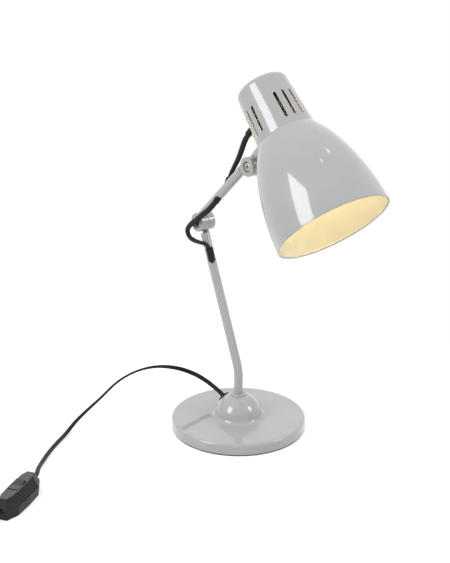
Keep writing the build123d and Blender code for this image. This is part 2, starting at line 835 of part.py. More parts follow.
# The neck's outer surface with a fit gap, which shapes the parts seated against it
with BuildPart() as neck_side_cone:
    with BuildSketch(head_profile):
        with BuildLine():
            Polyline(
                (0, neck_foot_height),
                (neck_foot_radius + fit_gap, neck_foot_height),
                (neck_top_radius + fit_gap, neck_top_height),
                (0, neck_top_height),
                close=True,
            )
        make_face()
    revolve(axis=head_axis)
neck_cone = neck_side_cone.part

with BuildPart() as neck_grommet:
    with BuildSketch(neck_entry.offset(-seat_inside)):
        Circle(seat_radius)
    extrude(amount=seat_inside + seat_flange)
    with BuildSketch(neck_entry.offset(-shade_wall)):
        Circle(seat_flange_radius)
    extrude(amount=shade_wall + seat_flange)
    add(neck_cone, mode=Mode.SUBTRACT)
    with BuildSketch(neck_entry.offset(-seat_inside)):
        Circle(seat_radius)
    extrude(amount=seat_inside + seat_flange)
    with BuildSketch(neck_entry.offset(-seat_inside)):
        Circle(neck_boot_radius + fit_gap)
    extrude(amount=seat_inside + seat_flange, mode=Mode.SUBTRACT)
neck_grommet.part.label = "neck_grommet"
export_step(neck_grommet.part, "parts/neck_grommet.step")

# Head tube from the upper pivot to the neck, its end closed for the screw that holds it there
with BuildPart() as head_tube:
    with BuildSketch(stub_frame.offset(tube_stop)):
        Circle(tube_radius)
    extrude(amount=head_reach - tube_stop)
    with BuildSketch(stub_frame.offset(tube_stop)):
        Circle(tube_bore)
    extrude(amount=head_reach - neck_foot_radius - stub_end_length - tube_stop, mode=Mode.SUBTRACT)
    with BuildSketch(stub_frame.offset(tube_stop)):
        Circle(stub_screw_radius + fit_gap)
    extrude(amount=head_reach - tube_stop, mode=Mode.SUBTRACT)
    add(neck_cone, mode=Mode.SUBTRACT)
head_tube.part.label = "head_tube"
export_step(head_tube.part, "parts/head_tube.step")

neck_height_there = stub_offset + stub_head_radius - neck_foot_height
neck_inside = neck_foot_radius - neck_slope * neck_height_there - shade_wall
stub_head_place = head_reach - sqrt(neck_inside**2 - stub_head_radius**2) + fit_gap

with BuildPart() as head_tube_screw:
    with BuildSketch(stub_frame.offset(stub_head_place)):
        Circle(stub_head_radius)
    extrude(amount=stub_head_height)
    with BuildSketch(stub_frame.offset(stub_head_place)):
        Circle(stub_screw_radius)
    extrude(amount=-stub_screw_length)
    with BuildSketch(stub_frame.offset(stub_head_place + stub_head_height)):
        Rectangle(stub_recess_span, cross_width)
        Rectangle(cross_width, stub_recess_span)
    extrude(amount=-stub_recess_depth, mode=Mode.SUBTRACT)
head_tube_screw.part.label = "head_tube_screw"
export_step(head_tube_screw.part, "parts/head_tube_screw.step")

# Lampholder, hung from the top of the neck by a hollow nipple between two nuts
holder_top = neck_top_height - shade_wall - lock_nut_height
holder_joint = holder_top - holder_cap_height
core_bottom = holder_joint - core_height
holder_bore = holder_radius - holder_wall
nipple_top = neck_top_height + cap_nut_height + nipple_proud

with BuildPart() as holder_nipple:
    with BuildSketch(head_frame.offset(nipple_top - nipple_length)):
        Circle(nipple_radius)
        Circle(nipple_bore, mode=Mode.SUBTRACT)
    extrude(amount=nipple_length)
holder_nipple.part.label = "holder_nipple"
export_step(holder_nipple.part, "parts/holder_nipple.step")

with BuildPart() as cap_nut:
    with BuildSketch(head_frame.offset(neck_top_height)):
        RegularPolygon(hexagon_radius(cap_nut_flats), 6)
        Circle(nipple_radius + fit_gap, mode=Mode.SUBTRACT)
    extrude(amount=cap_nut_height)
cap_nut.part.label = "cap_nut"
export_step(cap_nut.part, "parts/cap_nut.step")

with BuildPart() as lock_nut:
    with BuildSketch(head_frame.offset(holder_top)):
        RegularPolygon(hexagon_radius(cap_nut_flats), 6)
        Circle(nipple_radius + fit_gap, mode=Mode.SUBTRACT)
    extrude(amount=lock_nut_height)
lock_nut.part.label = "lock_nut"
export_step(lock_nut.part, "parts/lock_nut.step")

cap_brim = holder_top - holder_cap_slope
slope_out = Vector(0, holder_cap_slope, holder_radius - holder_cap_top).normalized()
slope_middle = Vector(0, (holder_radius + holder_cap_top) / 2, holder_top - holder_cap_slope / 2)
slope_point = head_frame.from_local_coords(slope_middle)
slope_tip = head_frame.from_local_coords(slope_middle + slope_out)
cap_entry = Plane(origin=slope_point, x_dir=(1, 0, 0), z_dir=slope_tip - slope_point)

with BuildPart() as holder_cap:
    with BuildSketch(head_profile):
        with BuildLine():
            Polyline(
                (nipple_radius + fit_gap, holder_top),
                (holder_cap_top, holder_top),
                (holder_radius, cap_brim),
                (holder_radius, holder_joint),
                (holder_bore, holder_joint),
                (holder_bore, cap_brim - holder_wall / 2),
                (holder_cap_top - holder_wall / 2, holder_top - holder_wall),
                (nipple_radius + fit_gap, holder_top - holder_wall),
                close=True,
            )
        make_face()
    revolve(axis=head_axis)
    with BuildSketch(cap_entry):
        Circle(lead_radius + fit_gap)
    extrude(amount=2 * holder_wall, both=True, mode=Mode.SUBTRACT)
holder_cap.part.label = "holder_cap"
export_step(holder_cap.part, "parts/holder_cap.step")

holder_foot = holder_joint - holder_shell_height

with BuildPart() as holder_shell:
    with BuildSketch(head_frame.offset(holder_foot)):
        Circle(holder_radius)
        Circle(holder_bore, mode=Mode.SUBTRACT)
    extrude(amount=holder_shell_height)
    with BuildSketch(head_frame.offset(holder_foot)):
        Circle(holder_radius)
        Circle(holder_bore - holder_lip, mode=Mode.SUBTRACT)
    extrude(amount=holder_wall)
holder_shell.part.label = "holder_shell"
export_step(holder_shell.part, "parts/holder_shell.step")

with BuildPart() as holder_core:
    with BuildSketch(head_frame.offset(core_bottom)):
        Circle(holder_bore - fit_gap)
    extrude(amount=core_height)
holder_core.part.label = "holder_core"
export_step(holder_core.part, "parts/holder_core.step")

with BuildPart() as holder_contact:
    with BuildSketch(head_frame.offset(core_bottom - contact_height)):
        Circle(contact_radius)
    extrude(amount=contact_height)
holder_contact.part.label = "holder_contact"
export_step(holder_contact.part, "parts/holder_contact.step")

liner_radius = bulb_cap_radius + thread_gap

with BuildPart() as holder_liner:
    with BuildSketch(head_frame.offset(core_bottom - bulb_cap_height)):
        Circle(liner_radius + thread_wall)
        Circle(liner_radius, mode=Mode.SUBTRACT)
    extrude(amount=bulb_cap_height)
holder_liner.part.label = "holder_liner"
export_step(holder_liner.part, "parts/holder_liner.step")

# Bulb: cap with its centre contact, hollow glass, glass mount and filament
bulb_top = core_bottom - contact_height
cap_top = bulb_top - bulb_tip_height
glass_top = cap_top - 2 * bulb_wall
globe_centre = bulb_top - bulb_length + bulb_radius

with BuildPart() as bulb_tip:
    with BuildSketch(head_frame.offset(cap_top)):
        Circle(bulb_tip_radius)
    extrude(amount=bulb_tip_height)
bulb_tip.part.label = "bulb_tip"
export_step(bulb_tip.part, "parts/bulb_tip.step")

with BuildPart() as bulb_cap:
    with BuildSketch(head_frame.offset(cap_top - bulb_cap_height)):
        Circle(bulb_cap_radius)
    extrude(amount=bulb_cap_height)
    with BuildSketch(head_frame.offset(cap_top - bulb_cap_height)):
        Circle(bulb_neck_radius + fit_gap)
    extrude(amount=bulb_cap_height - bulb_wall, mode=Mode.SUBTRACT)
bulb_cap.part.label = "bulb_cap"
export_step(bulb_cap.part, "parts/bulb_cap.step")

flare = radians(bulb_flare)
flare_end = (bulb_radius * cos(flare), globe_centre + bulb_radius * sin(flare))
flare_start = (bulb_neck_radius, flare_end[1] + (flare_end[0] - bulb_neck_radius) / tan(flare / 2))

with BuildPart() as bulb_glass:
    with BuildSketch(head_profile):
        with BuildLine():
            Line((0, glass_top), (bulb_neck_radius, glass_top))
            neck = Line((bulb_neck_radius, glass_top), flare_start)
            flare_arc = TangentArc(neck @ 1, flare_end, tangent=neck % 1)
            TangentArc(flare_arc @ 1, (0, globe_centre - bulb_radius), tangent=flare_arc % 1)
            Line((0, globe_centre - bulb_radius), (0, glass_top))
        make_face()
    revolve(axis=head_axis)
    offset(amount=-bulb_wall, openings=bulb_glass.faces().sort_by(head_axis)[-1])
bulb_glass.part.label = "bulb_glass"
export_step(bulb_glass.part, "parts/bulb_glass.step")

mount_foot = glass_top - bulb_wall - mount_length

with BuildPart() as bulb_mount:
    with BuildSketch(head_frame.offset(glass_top - bulb_wall)):
        Circle(bulb_neck_radius - bulb_wall - fit_gap)
    extrude(amount=bulb_wall)
    with BuildSketch(head_frame.offset(mount_foot)):
        Circle(mount_radius)
    extrude(amount=mount_length)
bulb_mount.part.label = "bulb_mount"
export_step(bulb_mount.part, "parts/bulb_mount.step")

with BuildPart() as bulb_filament:
    with BuildLine(head_profile) as filament_route:
        FilletPolyline(
            (mount_radius / 2, mount_foot - part_gap),
            (filament_span / 2, globe_centre),
            (-filament_span / 2, globe_centre),
            (-mount_radius / 2, mount_foot - part_gap),
            radius=filament_bend,
        )
    with BuildSketch(Plane(origin=filament_route.wires()[0] @ 0, z_dir=filament_route.wires()[0] % 0)):
        Circle(filament_radius)
    sweep(path=filament_route.wires()[0])
bulb_filament.part.label = "bulb_filament"
export_step(bulb_filament.part, "parts/bulb_filament.step")

# Lead inside the neck, from the boot over the lampholder's brim and into its cap
head_lead_points = [
    neck_entry.offset(-seat_inside - neck_lead_start).origin,
    head_frame.from_local_coords(Vector(0, holder_radius + lead_radius + part_gap, neck_lead_low)),
    head_frame.from_local_coords(Vector(0, holder_radius + lead_radius + 2 * part_gap, neck_lead_high)),
    cap_entry.offset(cap_lead_out).origin,
    cap_entry.offset(-cap_lead_in).origin,
]
head_lead = cord_tube(head_lead_points, lead_radius, corner_radii(head_lead_points))
head_lead.part.label = "head_lead"
export_step(head_lead.part, "parts/head_lead.step")

# Switch: two shells around the cord, with a rocker on top
switch_up = Vector(0, 0, 1)
switch_along = Vector(cos(radians(switch_heading)), sin(radians(switch_heading)), 0)
switch_frame = Plane(origin=(*switch_end, 0), x_dir=switch_along, z_dir=switch_up)
switch_middle = switch_length / 2
switch_side = switch_up.cross(switch_along)
rocker_height = switch_height - rocker_waist - part_gap / 2
rocker_pivot = switch_frame.from_local_coords(Vector(switch_middle, 0, rocker_height))
case_screw_places = [
    (switch_middle - case_screw_along, -case_screw_across),
    (switch_middle + case_screw_along, case_screw_across),
]


def switch_outline(width, shoulder, nose, inset):
    """The corners of the switch seen from above, widest at the middle."""
    side = [(inset, nose / 2), (switch_taper, shoulder / 2), (switch_middle, width / 2)]
    side += [(switch_length - x, y) for x, y in reversed(side[:2])]
    return side + [(x, -y) for x, y in reversed(side)]


def switch_section(height, outline):
    """The outline as a face at this height above the table."""
    with BuildSketch(switch_frame.offset(height)) as section:
        with BuildLine():
            Polyline(*outline, close=True)
        make_face()
    return section.sketch


outer_seam = switch_outline(switch_width, switch_shoulder, switch_nose, 0)
inner_seam = switch_outline(
    switch_width - 2 * shell_wall, switch_shoulder - 2 * shell_wall, switch_nose - 2 * shell_wall, shell_wall
)
outer_top = switch_outline(top_width, top_width - shell_wall, top_nose, top_inset)
inner_top = switch_outline(
    top_width - shell_wall, top_width - 2 * shell_wall, top_nose, top_inset + shell_wall
)

with BuildPart() as cord_bores:
    for inset, start in ((0, -1), (switch_length, 1)):
        bore_start = switch_frame.from_local_coords(Vector(inset + start, 0, seam_height))
        with BuildSketch(Plane(origin=bore_start, z_dir=switch_along * -start)):
            Circle(cord_radius + fit_gap)
        extrude(amount=terminal_start)

with BuildPart() as switch_base:
    extrude(switch_section(seam_height, outer_seam), amount=-seam_height, taper=draft_angle)
    extrude(
        switch_section(seam_height, inner_seam), amount=shell_wall - seam_height, taper=draft_angle,
        mode=Mode.SUBTRACT,
    )
    with BuildSketch(switch_frame):
        with Locations(case_screw_places):
            Circle(case_boss_radius)
    extrude(amount=seam_height)
    with BuildSketch(switch_frame):
        with Locations(case_screw_places):
            Circle(case_screw_head + part_gap / 2)
    extrude(amount=case_screw_sink, mode=Mode.SUBTRACT)
    with BuildSketch(switch_frame):
        with Locations(case_screw_places):
            Circle(case_screw_radius + fit_gap)
    extrude(amount=seam_height, mode=Mode.SUBTRACT)
    add(cord_bores.part, mode=Mode.SUBTRACT)
switch_base.part.label = "switch_base"
export_step(switch_base.part, "parts/switch_base.step")

well_length = 2 * (rocker_radius + rocker_gap)
well_width = rocker_width + 2 * rocker_gap

with BuildPart() as switch_cover:
    loft([switch_section(seam_height, outer_seam), switch_section(switch_height, outer_top)], ruled=True)
    loft(
        [switch_section(seam_height, inner_seam), switch_section(switch_height - shell_wall, inner_top)],
        ruled=True, mode=Mode.SUBTRACT,
    )
    with BuildSketch(switch_frame.offset(switch_height - well_depth)):
        with Locations((switch_middle, 0)):
            Rectangle(well_length + 2 * shell_wall, well_width + 2 * shell_wall)
    extrude(amount=well_depth)
    with BuildSketch(switch_frame.offset(seam_height)):
        with Locations(case_screw_places):
            Circle(case_post_radius)
    extrude(amount=case_post_height)
    with BuildSketch(switch_frame.offset(seam_height)):
        with Locations((switch_middle, 0)):
            Rectangle(well_length, well_width)
    extrude(amount=switch_height - seam_height, mode=Mode.SUBTRACT)
    with BuildSketch(switch_frame.offset(seam_height)):
        with Locations(case_screw_places):
            Circle(case_screw_radius + fit_gap)
    extrude(amount=case_post_height, mode=Mode.SUBTRACT)
    with BuildSketch(Plane(origin=rocker_pivot, x_dir=switch_along, z_dir=switch_side)):
        Circle(rocker_pin_radius + fit_gap)
    extrude(amount=well_width / 2 + rocker_pin_seat, both=True, mode=Mode.SUBTRACT)
    add(cord_bores.part, mode=Mode.SUBTRACT)
switch_cover.part.label = "switch_cover"
export_step(switch_cover.part, "parts/switch_cover.step")

with BuildPart() as rocker_pin:
    with BuildSketch(Plane(origin=rocker_pivot, x_dir=switch_along, z_dir=switch_side)):
        Circle(rocker_pin_radius)
    extrude(amount=well_width / 2 + rocker_pin_seat, both=True)
rocker_pin.part.label = "rocker_pin"
export_step(rocker_pin.part, "parts/rocker_pin.step")

rise = radians(rocker_rise)
drop = radians(rocker_drop)
nub = rocker_nub_width / 2
rest_along = switch_along * cos(radians(rocker_tilt)) - switch_up * sin(radians(rocker_tilt))

with BuildPart() as switch_rocker:
    with BuildSketch(Plane(origin=rocker_pivot, x_dir=rest_along, z_dir=switch_side * -1)):
        with BuildLine():
            right_end = CenterArc((0, 0), rocker_radius, -rocker_drop, rocker_rise + rocker_drop)
            left_end = CenterArc((0, 0), rocker_radius, 180 - rocker_rise, rocker_rise + rocker_drop)
            Polyline(right_end @ 1, (0, rocker_waist), left_end @ 0)
            Polyline(
                left_end @ 1,
                (-2 * nub, -rocker_depth),
                (-nub, -rocker_depth),
                (-nub, -rocker_nub),
                (nub, -rocker_nub),
                (nub, -rocker_depth),
                (2 * nub, -rocker_depth),
                right_end @ 0,
            )
        make_face()
        Circle(rocker_pin_radius + run_gap, mode=Mode.SUBTRACT)
    extrude(amount=rocker_width / 2, both=True)
switch_rocker.part.label = "switch_rocker"
export_step(switch_rocker.part, "parts/switch_rocker.step")

terminal_middles = [
    (terminal_start + terminal_length / 2, 0),
    (switch_length - terminal_start - terminal_length / 2, 0),
]

with BuildPart() as switch_terminals:
    with BuildSketch(switch_frame.offset(shell_wall)):
        with Locations(terminal_middles):
            Rectangle(terminal_length, terminal_width)
    extrude(amount=terminal_height - shell_wall)
switch_terminals.part.label = "switch_terminals"
export_step(switch_terminals.part, "parts/switch_terminals.step")

with BuildPart() as switch_bridge:
    with BuildSketch(switch_frame.offset(terminal_height)):
        with Locations((switch_middle, 0)):
            Rectangle(switch_length - 2 * terminal_start - terminal_length, bridge_width)
    extrude(amount=bridge_thickness)
switch_bridge.part.label = "switch_bridge"
export_step(switch_bridge.part, "parts/switch_bridge.step")

with BuildPart() as case_screws:
    with BuildSketch(switch_frame.offset(case_screw_sink - case_screw_height)):
        with Locations(case_screw_places):
            Circle(case_screw_head)
    extrude(amount=case_screw_height)
    with BuildSketch(switch_frame.offset(case_screw_sink)):
        with Locations(case_screw_places):
            Circle(case_screw_radius)
    extrude(amount=case_screw_length)
case_screws.part.label = "case_screws"
export_step(case_screws.part, "parts/case_screws.step")

# Cord from the gland to the switch: a springy arch down to the table, then along it
cord_points = [
    gland_frame.offset(cord_start).origin,
    gland_frame.offset(cord_rise).origin,
    (1.2, 43.8, 30.0),
    (-2.5, 55.9, 35.9),
    (-13.7, 65.4, 45.1),
    (-32.0, 73.8, 54.4),
    (-54.3, 83.0, 59.1),
    (-76.4, 91.9, 55.8),
    (-96.8, 99.8, 45.4),
    (-114.3, 104.3, 29.9),
    (-132.1, 107.6, 17.5),
    (-150.0, 106.0, 8.3),
    (-167.7, 96.9, 2.3),
    (-187.0, 84.2, 2.25),
    (-206.2, 69.4, 2.3),
    (-223.0, 52.8, 4.0),
    (-236.9, 36.7, 7.8),
    switch_frame.from_local_coords(Vector(-switch_straight, 0, seam_height)),
    switch_frame.from_local_coords(Vector(terminal_start, 0, seam_height)),
]
cord = cord_tube(cord_points, cord_radius, corner_radii(cord_points))
cord.part.label = "cord"
export_step(cord.part, "parts/cord.step")

# Tail from the switch round to the coil
lower_layer = coil_lift + cord_radius
upper_layer = lower_layer + layer_rise
coil_left = coil_centre[0] - coil_radius
coil_start = (coil_left, coil_centre[1] - coil_straight, lower_layer)
tail_points = [
    switch_frame.from_local_coords(Vector(switch_length - terminal_start, 0, seam_height)),
    switch_frame.from_local_coords(Vector(switch_length + switch_straight, 0, seam_height)),
    (-331.0, -32.2, 6.6),
    (-349.0, -34.8, 4.4),
    (-366.0, -28.6, 3.3),
    (-377.3, -15.0, lower_layer),
    (coil_left, 4.5, lower_layer),
    coil_start,
]
cord_tail = cord_tube(tail_points, cord_radius, corner_radii(tail_points))
cord_tail.part.label = "cord_tail"
export_step(cord_tail.part, "parts/cord_tail.step")


def biarc(start, start_heading, end, end_heading):
    """Where two tangent arcs from start to end meet, and their heading there."""
    chord = end - start
    along = chord.dot(start_heading + end_heading)
    spread = 2 * (1 - start_heading.dot(end_heading))
    if spread > 0.001:
        reach = (sqrt(along**2 + spread * chord.dot(chord)) - along) / spread
    else:
        reach = chord.dot(chord) / (2 * along)
    joint = (start + end + (start_heading - end_heading) * reach) / 2
    joint_heading = (end - end_heading * reach) - (start + start_heading * reach)
    return joint, joint_heading.normalized()


# Coil: in along the table by half turns, up in the middle one, and out again on top
half_turns = 2 * coil_turns
inward = [coil_radius - index * coil_pitch / 2 for index in range(half_turns)]
coil_radii = inward + [coil_radius - half_turns * coil_pitch / 2] + inward[:0:-1]
ahead = Vector(0, 1, 0)

with BuildPart() as cord_coil:
    with BuildLine() as coil_route:
        here = Vector(*coil_start)
        Line(here, here + ahead * coil_straight)
        here = here + ahead * coil_straight
        heading = ahead
        for index, radius in enumerate(coil_radii):
            right_of = Vector(heading.Y, -heading.X, 0)
            climb = layer_rise if index == half_turns else 0
            there = here + right_of * 2 * radius + Vector(0, 0, climb)
            joint, joint_heading = biarc(here, heading, there, heading * -1)
            TangentArc(here, joint, tangent=heading)
            TangentArc(joint, there, tangent=joint_heading)
            here = there
            heading = heading * -1
        there = Vector(here.X, here.Y + coil_drop_run, plug_height / 2)
        joint, joint_heading = biarc(here, heading, there, heading)
        TangentArc(here, joint, tangent=heading)
        TangentArc(joint, there, tangent=joint_heading)
        coil_end = there + heading * coil_straight
        Line(there, coil_end)
    with BuildSketch(Plane(origin=coil_start, z_dir=ahead)):
        Circle(cord_radius)
    sweep(path=coil_route.wires()[0])
cord_coil.part.label = "cord_coil"
export_step(cord_coil.part, "parts/cord_coil.step")

coil_wire = coil_route.wires()[0]
coil_length = coil_wire.length
sample_count = int(coil_length / cord_radius)
samples = [coil_wire.position_at(index / sample_count) for index in range(sample_count + 1)]
apart = int(pi * inward[-1] / cord_radius)
least_gap = min(
    (samples[second] - samples[first]).length
    for first in range(sample_count + 1)
    for second in range(first + apart, sample_count + 1)
) - 2 * cord_radius
print("coil length", round(coil_length, 1), "least gap", round(least_gap, 2))
print("coil volume ratio", round(cord_coil.part.volume / (coil_length * pi * cord_radius**2), 4))

# Tie around the coil's turns on the side towards the lamp's front
inner_turn = inward[-1]
outer_turn = inward[1]
tie_reach = tie_width / 2 + cord_radius
tie_inner = sqrt(inner_turn**2 - tie_reach**2) - cord_radius - tie_slack
tie_outer = outer_turn + cord_radius + tie_slack
tie_bottom = coil_lift - tie_slack / 2
tie_top = upper_layer + cord_radius + tie_slack
tie_frame = Plane(origin=(coil_left + coil_radius, coil_centre[1], 0), x_dir=(0, -1, 0), z_dir=(-1, 0, 0))
tie_middle = ((tie_inner + tie_outer) / 2, (tie_bottom + tie_top) / 2)
tie_reach_out = tie_outer - tie_inner
tie_rise = tie_top - tie_bottom

with BuildPart() as cord_tie:
    with BuildSketch(tie_frame):
        with Locations(tie_middle):
            RectangleRounded(tie_reach_out + 2 * tie_thickness, tie_rise + 2 * tie_thickness, cord_radius)
            RectangleRounded(tie_reach_out, tie_rise, cord_radius - tie_thickness, mode=Mode.SUBTRACT)
    extrude(amount=tie_width / 2, both=True)
cord_tie.part.label = "cord_tie"
export_step(cord_tie.part, "parts/cord_tie.step")

# Plug on the end of the coil, lying on its broad side
plug_start = coil_end.Y - relief_socket
plug_frame = Plane(origin=(coil_left, plug_start, 0), x_dir=(0, 1, 0), z_dir=(0, 0, 1))
body_start = relief_length
body_end = relief_length + plug_length
plug_side = [
    (body_start, plug_back_width / 2),
    (body_start + plug_back_taper, plug_width / 2),
    (body_end - plug_face_taper, plug_width / 2),
    (body_end, plug_face_width / 2),
]
relief_foot = Plane(origin=(coil_left, plug_start, plug_height / 2), x_dir=(1, 0, 0), z_dir=(0, 1, 0))
pin_face = relief_foot.offset(body_end)

with BuildPart() as plug_body:
    with BuildSketch(plug_frame):
        with BuildLine():
            Polyline(*plug_side, *[(x, -y) for x, y in reversed(plug_side)], close=True)
        make_face()
    extrude(amount=plug_height)
    fillet(plug_body.edges().filter_by(Axis.Z), plug_edge)
    chamfer(plug_body.edges().group_by(Axis.Z)[-1] + plug_body.edges().group_by(Axis.Z)[0], plug_edge / 2)
    with BuildSketch(relief_foot):
        Circle(relief_tip_radius)
    with BuildSketch(relief_foot.offset(relief_length + plug_edge)):
        Circle(relief_radius)
    loft()
    with BuildSketch(relief_foot):
        Circle(cord_radius + fit_gap)
    extrude(amount=relief_socket + fit_gap, mode=Mode.SUBTRACT)
    with BuildSketch(pin_face):
        with GridLocations(plug_pin_spacing, 0, 2, 1):
            Circle(plug_pin_radius + fit_gap)
    extrude(amount=-plug_pin_root, mode=Mode.SUBTRACT)
plug_body.part.label = "plug_body"
export_step(plug_body.part, "parts/plug_body.step")

with BuildPart() as plug_pins:
    with BuildSketch(pin_face.offset(-plug_pin_root)):
        with GridLocations(plug_pin_spacing, 0, 2, 1):
            Circle(plug_pin_radius)
    extrude(amount=plug_pin_root + plug_pin_length)
    fillet(plug_pins.edges().group_by(Axis.Y)[-1], plug_pin_radius / 2)
plug_pins.part.label = "plug_pins"
export_step(plug_pins.part, "parts/plug_pins.step")
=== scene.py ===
from math import atan, cos, exp, floor, pi, radians, sin

import bpy
from mathutils import Matrix, Quaternion, Vector


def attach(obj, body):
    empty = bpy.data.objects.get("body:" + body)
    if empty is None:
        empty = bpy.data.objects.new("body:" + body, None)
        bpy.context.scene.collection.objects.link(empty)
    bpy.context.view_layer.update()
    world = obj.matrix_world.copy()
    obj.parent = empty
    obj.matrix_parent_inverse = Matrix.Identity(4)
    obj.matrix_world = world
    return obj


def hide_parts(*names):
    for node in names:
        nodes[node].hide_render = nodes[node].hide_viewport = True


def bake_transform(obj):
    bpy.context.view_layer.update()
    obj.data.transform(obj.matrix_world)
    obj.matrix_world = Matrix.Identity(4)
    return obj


# An articulated desk lamp. The points below are in millimetres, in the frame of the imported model:
# +Z up, the origin on the table under the base, the head towards -Y and the mains cord towards +Y.
MM = 0.001

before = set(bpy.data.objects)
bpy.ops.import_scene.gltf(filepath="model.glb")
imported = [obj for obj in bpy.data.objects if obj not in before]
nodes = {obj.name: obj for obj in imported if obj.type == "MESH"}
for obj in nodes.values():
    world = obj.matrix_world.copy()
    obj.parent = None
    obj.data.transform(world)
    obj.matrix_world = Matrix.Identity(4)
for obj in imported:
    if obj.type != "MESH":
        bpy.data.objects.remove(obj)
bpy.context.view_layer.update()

# Stem, arm and head, from the same leans and lengths as the solids
BEND_HEIGHT = 68.2
STEM_LEAN = radians(22.7)
STEM_REACH = 170.0
PIN_FORWARD = 2.3
ARM_LEAN = radians(47.15)
ARM_LENGTH = 118.0
ARM_SIDE = 4.5
ARM_OFFSET = 4.0
HEAD_DROP = radians(46.9)
HEAD_REACH = 65.7
GLOBE_CENTRE = -35.9
MOUTH_DEPTH = 111.5

# Where the leads leave the tubes: the height along the tube, and the degrees round it from +X
STEM_EXIT = (118.3, -122.0)
LOWER_EXIT = (57.0, -134.0)
UPPER_EXIT = (66.0, 78.0)
EXIT_LEAN = radians(25.0)

# Where they enter the neck and the lampholder's cap, in the head's frame, and leave the dome
NECK_ENTRY = (0.0, 28.373, 30.0)
NECK_ENTRY_LEAN = radians(3.0)
CAP_ENTRY = (0.0, 14.0, 47.3)
CAP_SLOPE = (0.0, 8.0, 10.0)
GLAND_HEIGHT = 13.6
GLAND_TILT = radians(26.0)
CLAMP_DISTANCE = 20.0

# The flat cord's section: the radius of a core, how far it sits from the middle, and the groove
CORD_LOBE = 1.25
CORD_SPREAD = 1.25
CORD_GROOVE = 0.3
GROOVE_WIDTH = 0.5
LOBE_STEPS = 8

# The round leads inside the tubes
LEAD_RADIUS = 1.9
LEAD_SIDES = 24

# The sleeves' weave: how high it stands, how many strands go each way, one strand's pitch, the
# points of one ring, and how far a loose tuft spreads along the sleeve and, in radians, round it
WEAVE_HEIGHT = 0.28
WEAVE_STRANDS = 14
WEAVE_PITCH = 2.6
WEAVE_SIDES = 80
TUFT_LENGTH = 0.9
TUFT_TURN = 0.5

# How finely the lines are swept, in millimetres from ring to ring
LEAD_STEP = 1.5
CORD_STEP = 1.8
WEAVE_STEP = 0.24

# Camera, with the photograph's sizes in pixels
SENSOR_WIDTH = 36.0
PHOTO_LONG_SIDE = 563
PHOTO_CENTRE = (225.0, 281.5)
FOCAL_PIXELS = 1229.8
BASE_PIXEL = (238.33, 425.34)
CAMERA_AZIMUTH = radians(-37.87)
CAMERA_ELEVATION = radians(26.37)
CAMERA_DISTANCE = 1400.0

# The sky's level low down and overhead, and the table: its size, its white, how much brighter it
# looks to the camera, and the ring, in metres, in which it turns to plain white
SKY_LOW = 0.5
SKY_HIGH = 1.35
FLOOR_REACH = 3.0
FLOOR_WHITE = 0.58
FLOOR_LIFT = 0.5
FADE_CENTRE = (-0.15, 0.02, 0)
FADE_START = 0.3
FADE_END = 0.55


def frame_at(origin, up):
    """A frame whose x runs along +X and whose z runs along up."""
    z = Vector(up).normalized()
    x = Vector((1, 0, 0))
    made = Matrix((x, z.cross(x), z)).transposed().to_4x4()
    made.translation = Vector(origin)
    return made


def tube_exit(tube, height, around, up):
    """Where a lead leaves a tube's axis, and the way it heads."""
    around = radians(around)
    lean_out = sin(EXIT_LEAN)
    heading = Vector((cos(around) * lean_out, sin(around) * lean_out, up * cos(EXIT_LEAN)))
    return tube @ Vector((0, 0, height)), tube.to_3x3() @ heading


def along(outlet, distance):
    """The point this far along an exit's heading."""
    start, heading = outlet
    return start + heading * distance


stem = frame_at((0, 0, BEND_HEIGHT), (0, sin(STEM_LEAN), cos(STEM_LEAN)))
lower_pin = stem @ Vector((0, -PIN_FORWARD, STEM_REACH))
arm = frame_at(lower_pin, (0, -sin(ARM_LEAN), cos(ARM_LEAN)))
arm_tube = frame_at(arm @ Vector((-ARM_SIDE, ARM_OFFSET, 0)), (0, -sin(ARM_LEAN), cos(ARM_LEAN)))
upper_pin = arm @ Vector((0, 0, ARM_LENGTH))
to_cap = Vector((0, cos(HEAD_DROP), sin(HEAD_DROP)))
to_front = Vector((0, -sin(HEAD_DROP), cos(HEAD_DROP)))
head = frame_at(upper_pin + to_front * HEAD_REACH, to_cap)
stem_outlet = tube_exit(stem, *STEM_EXIT, 1)
lower_outlet = tube_exit(arm_tube, *LOWER_EXIT, -1)
upper_outlet = tube_exit(arm_tube, *UPPER_EXIT, 1)
entry_heading = head.to_3x3() @ Vector((0, cos(NECK_ENTRY_LEAN), -sin(NECK_ENTRY_LEAN)))
neck_entry = (head @ Vector(NECK_ENTRY), entry_heading)
gland = (Vector((0, 0, GLAND_HEIGHT)), Vector((0, cos(GLAND_TILT), sin(GLAND_TILT))))
cap_entry = (head @ Vector(CAP_ENTRY), head.to_3x3() @ Vector(CAP_SLOPE).normalized())

SWITCH_START = Vector((-252.0, 18.0, 9.6))
SWITCH_ALONG = Vector((cos(radians(213)), sin(radians(213)), 0))

# The mains cord from the clamp behind the gland to the switch
CORD_POINTS = [
    along(gland, CLAMP_DISTANCE),
    along(gland, 33.5),
    (1.2, 43.8, 30.0),
    (-2.5, 55.9, 35.9),
    (-13.7, 65.4, 45.1),
    (-32.0, 73.8, 54.4),
    (-54.3, 83.0, 59.1),
    (-76.4, 91.9, 55.8),
    (-96.8, 99.8, 45.4),
    (-114.3, 104.3, 29.9),
    (-132.1, 107.6, 17.5),
    (-150.0, 106.0, 8.3),
    (-167.7, 96.9, 2.3),
    (-187.0, 84.2, 2.25),
    (-206.2, 69.4, 2.3),
    (-223.0, 52.8, 4.0),
    (-236.9, 36.7, 7.8),
    SWITCH_START + SWITCH_ALONG * -6.0,
    SWITCH_START + SWITCH_ALONG * 10.0,
]

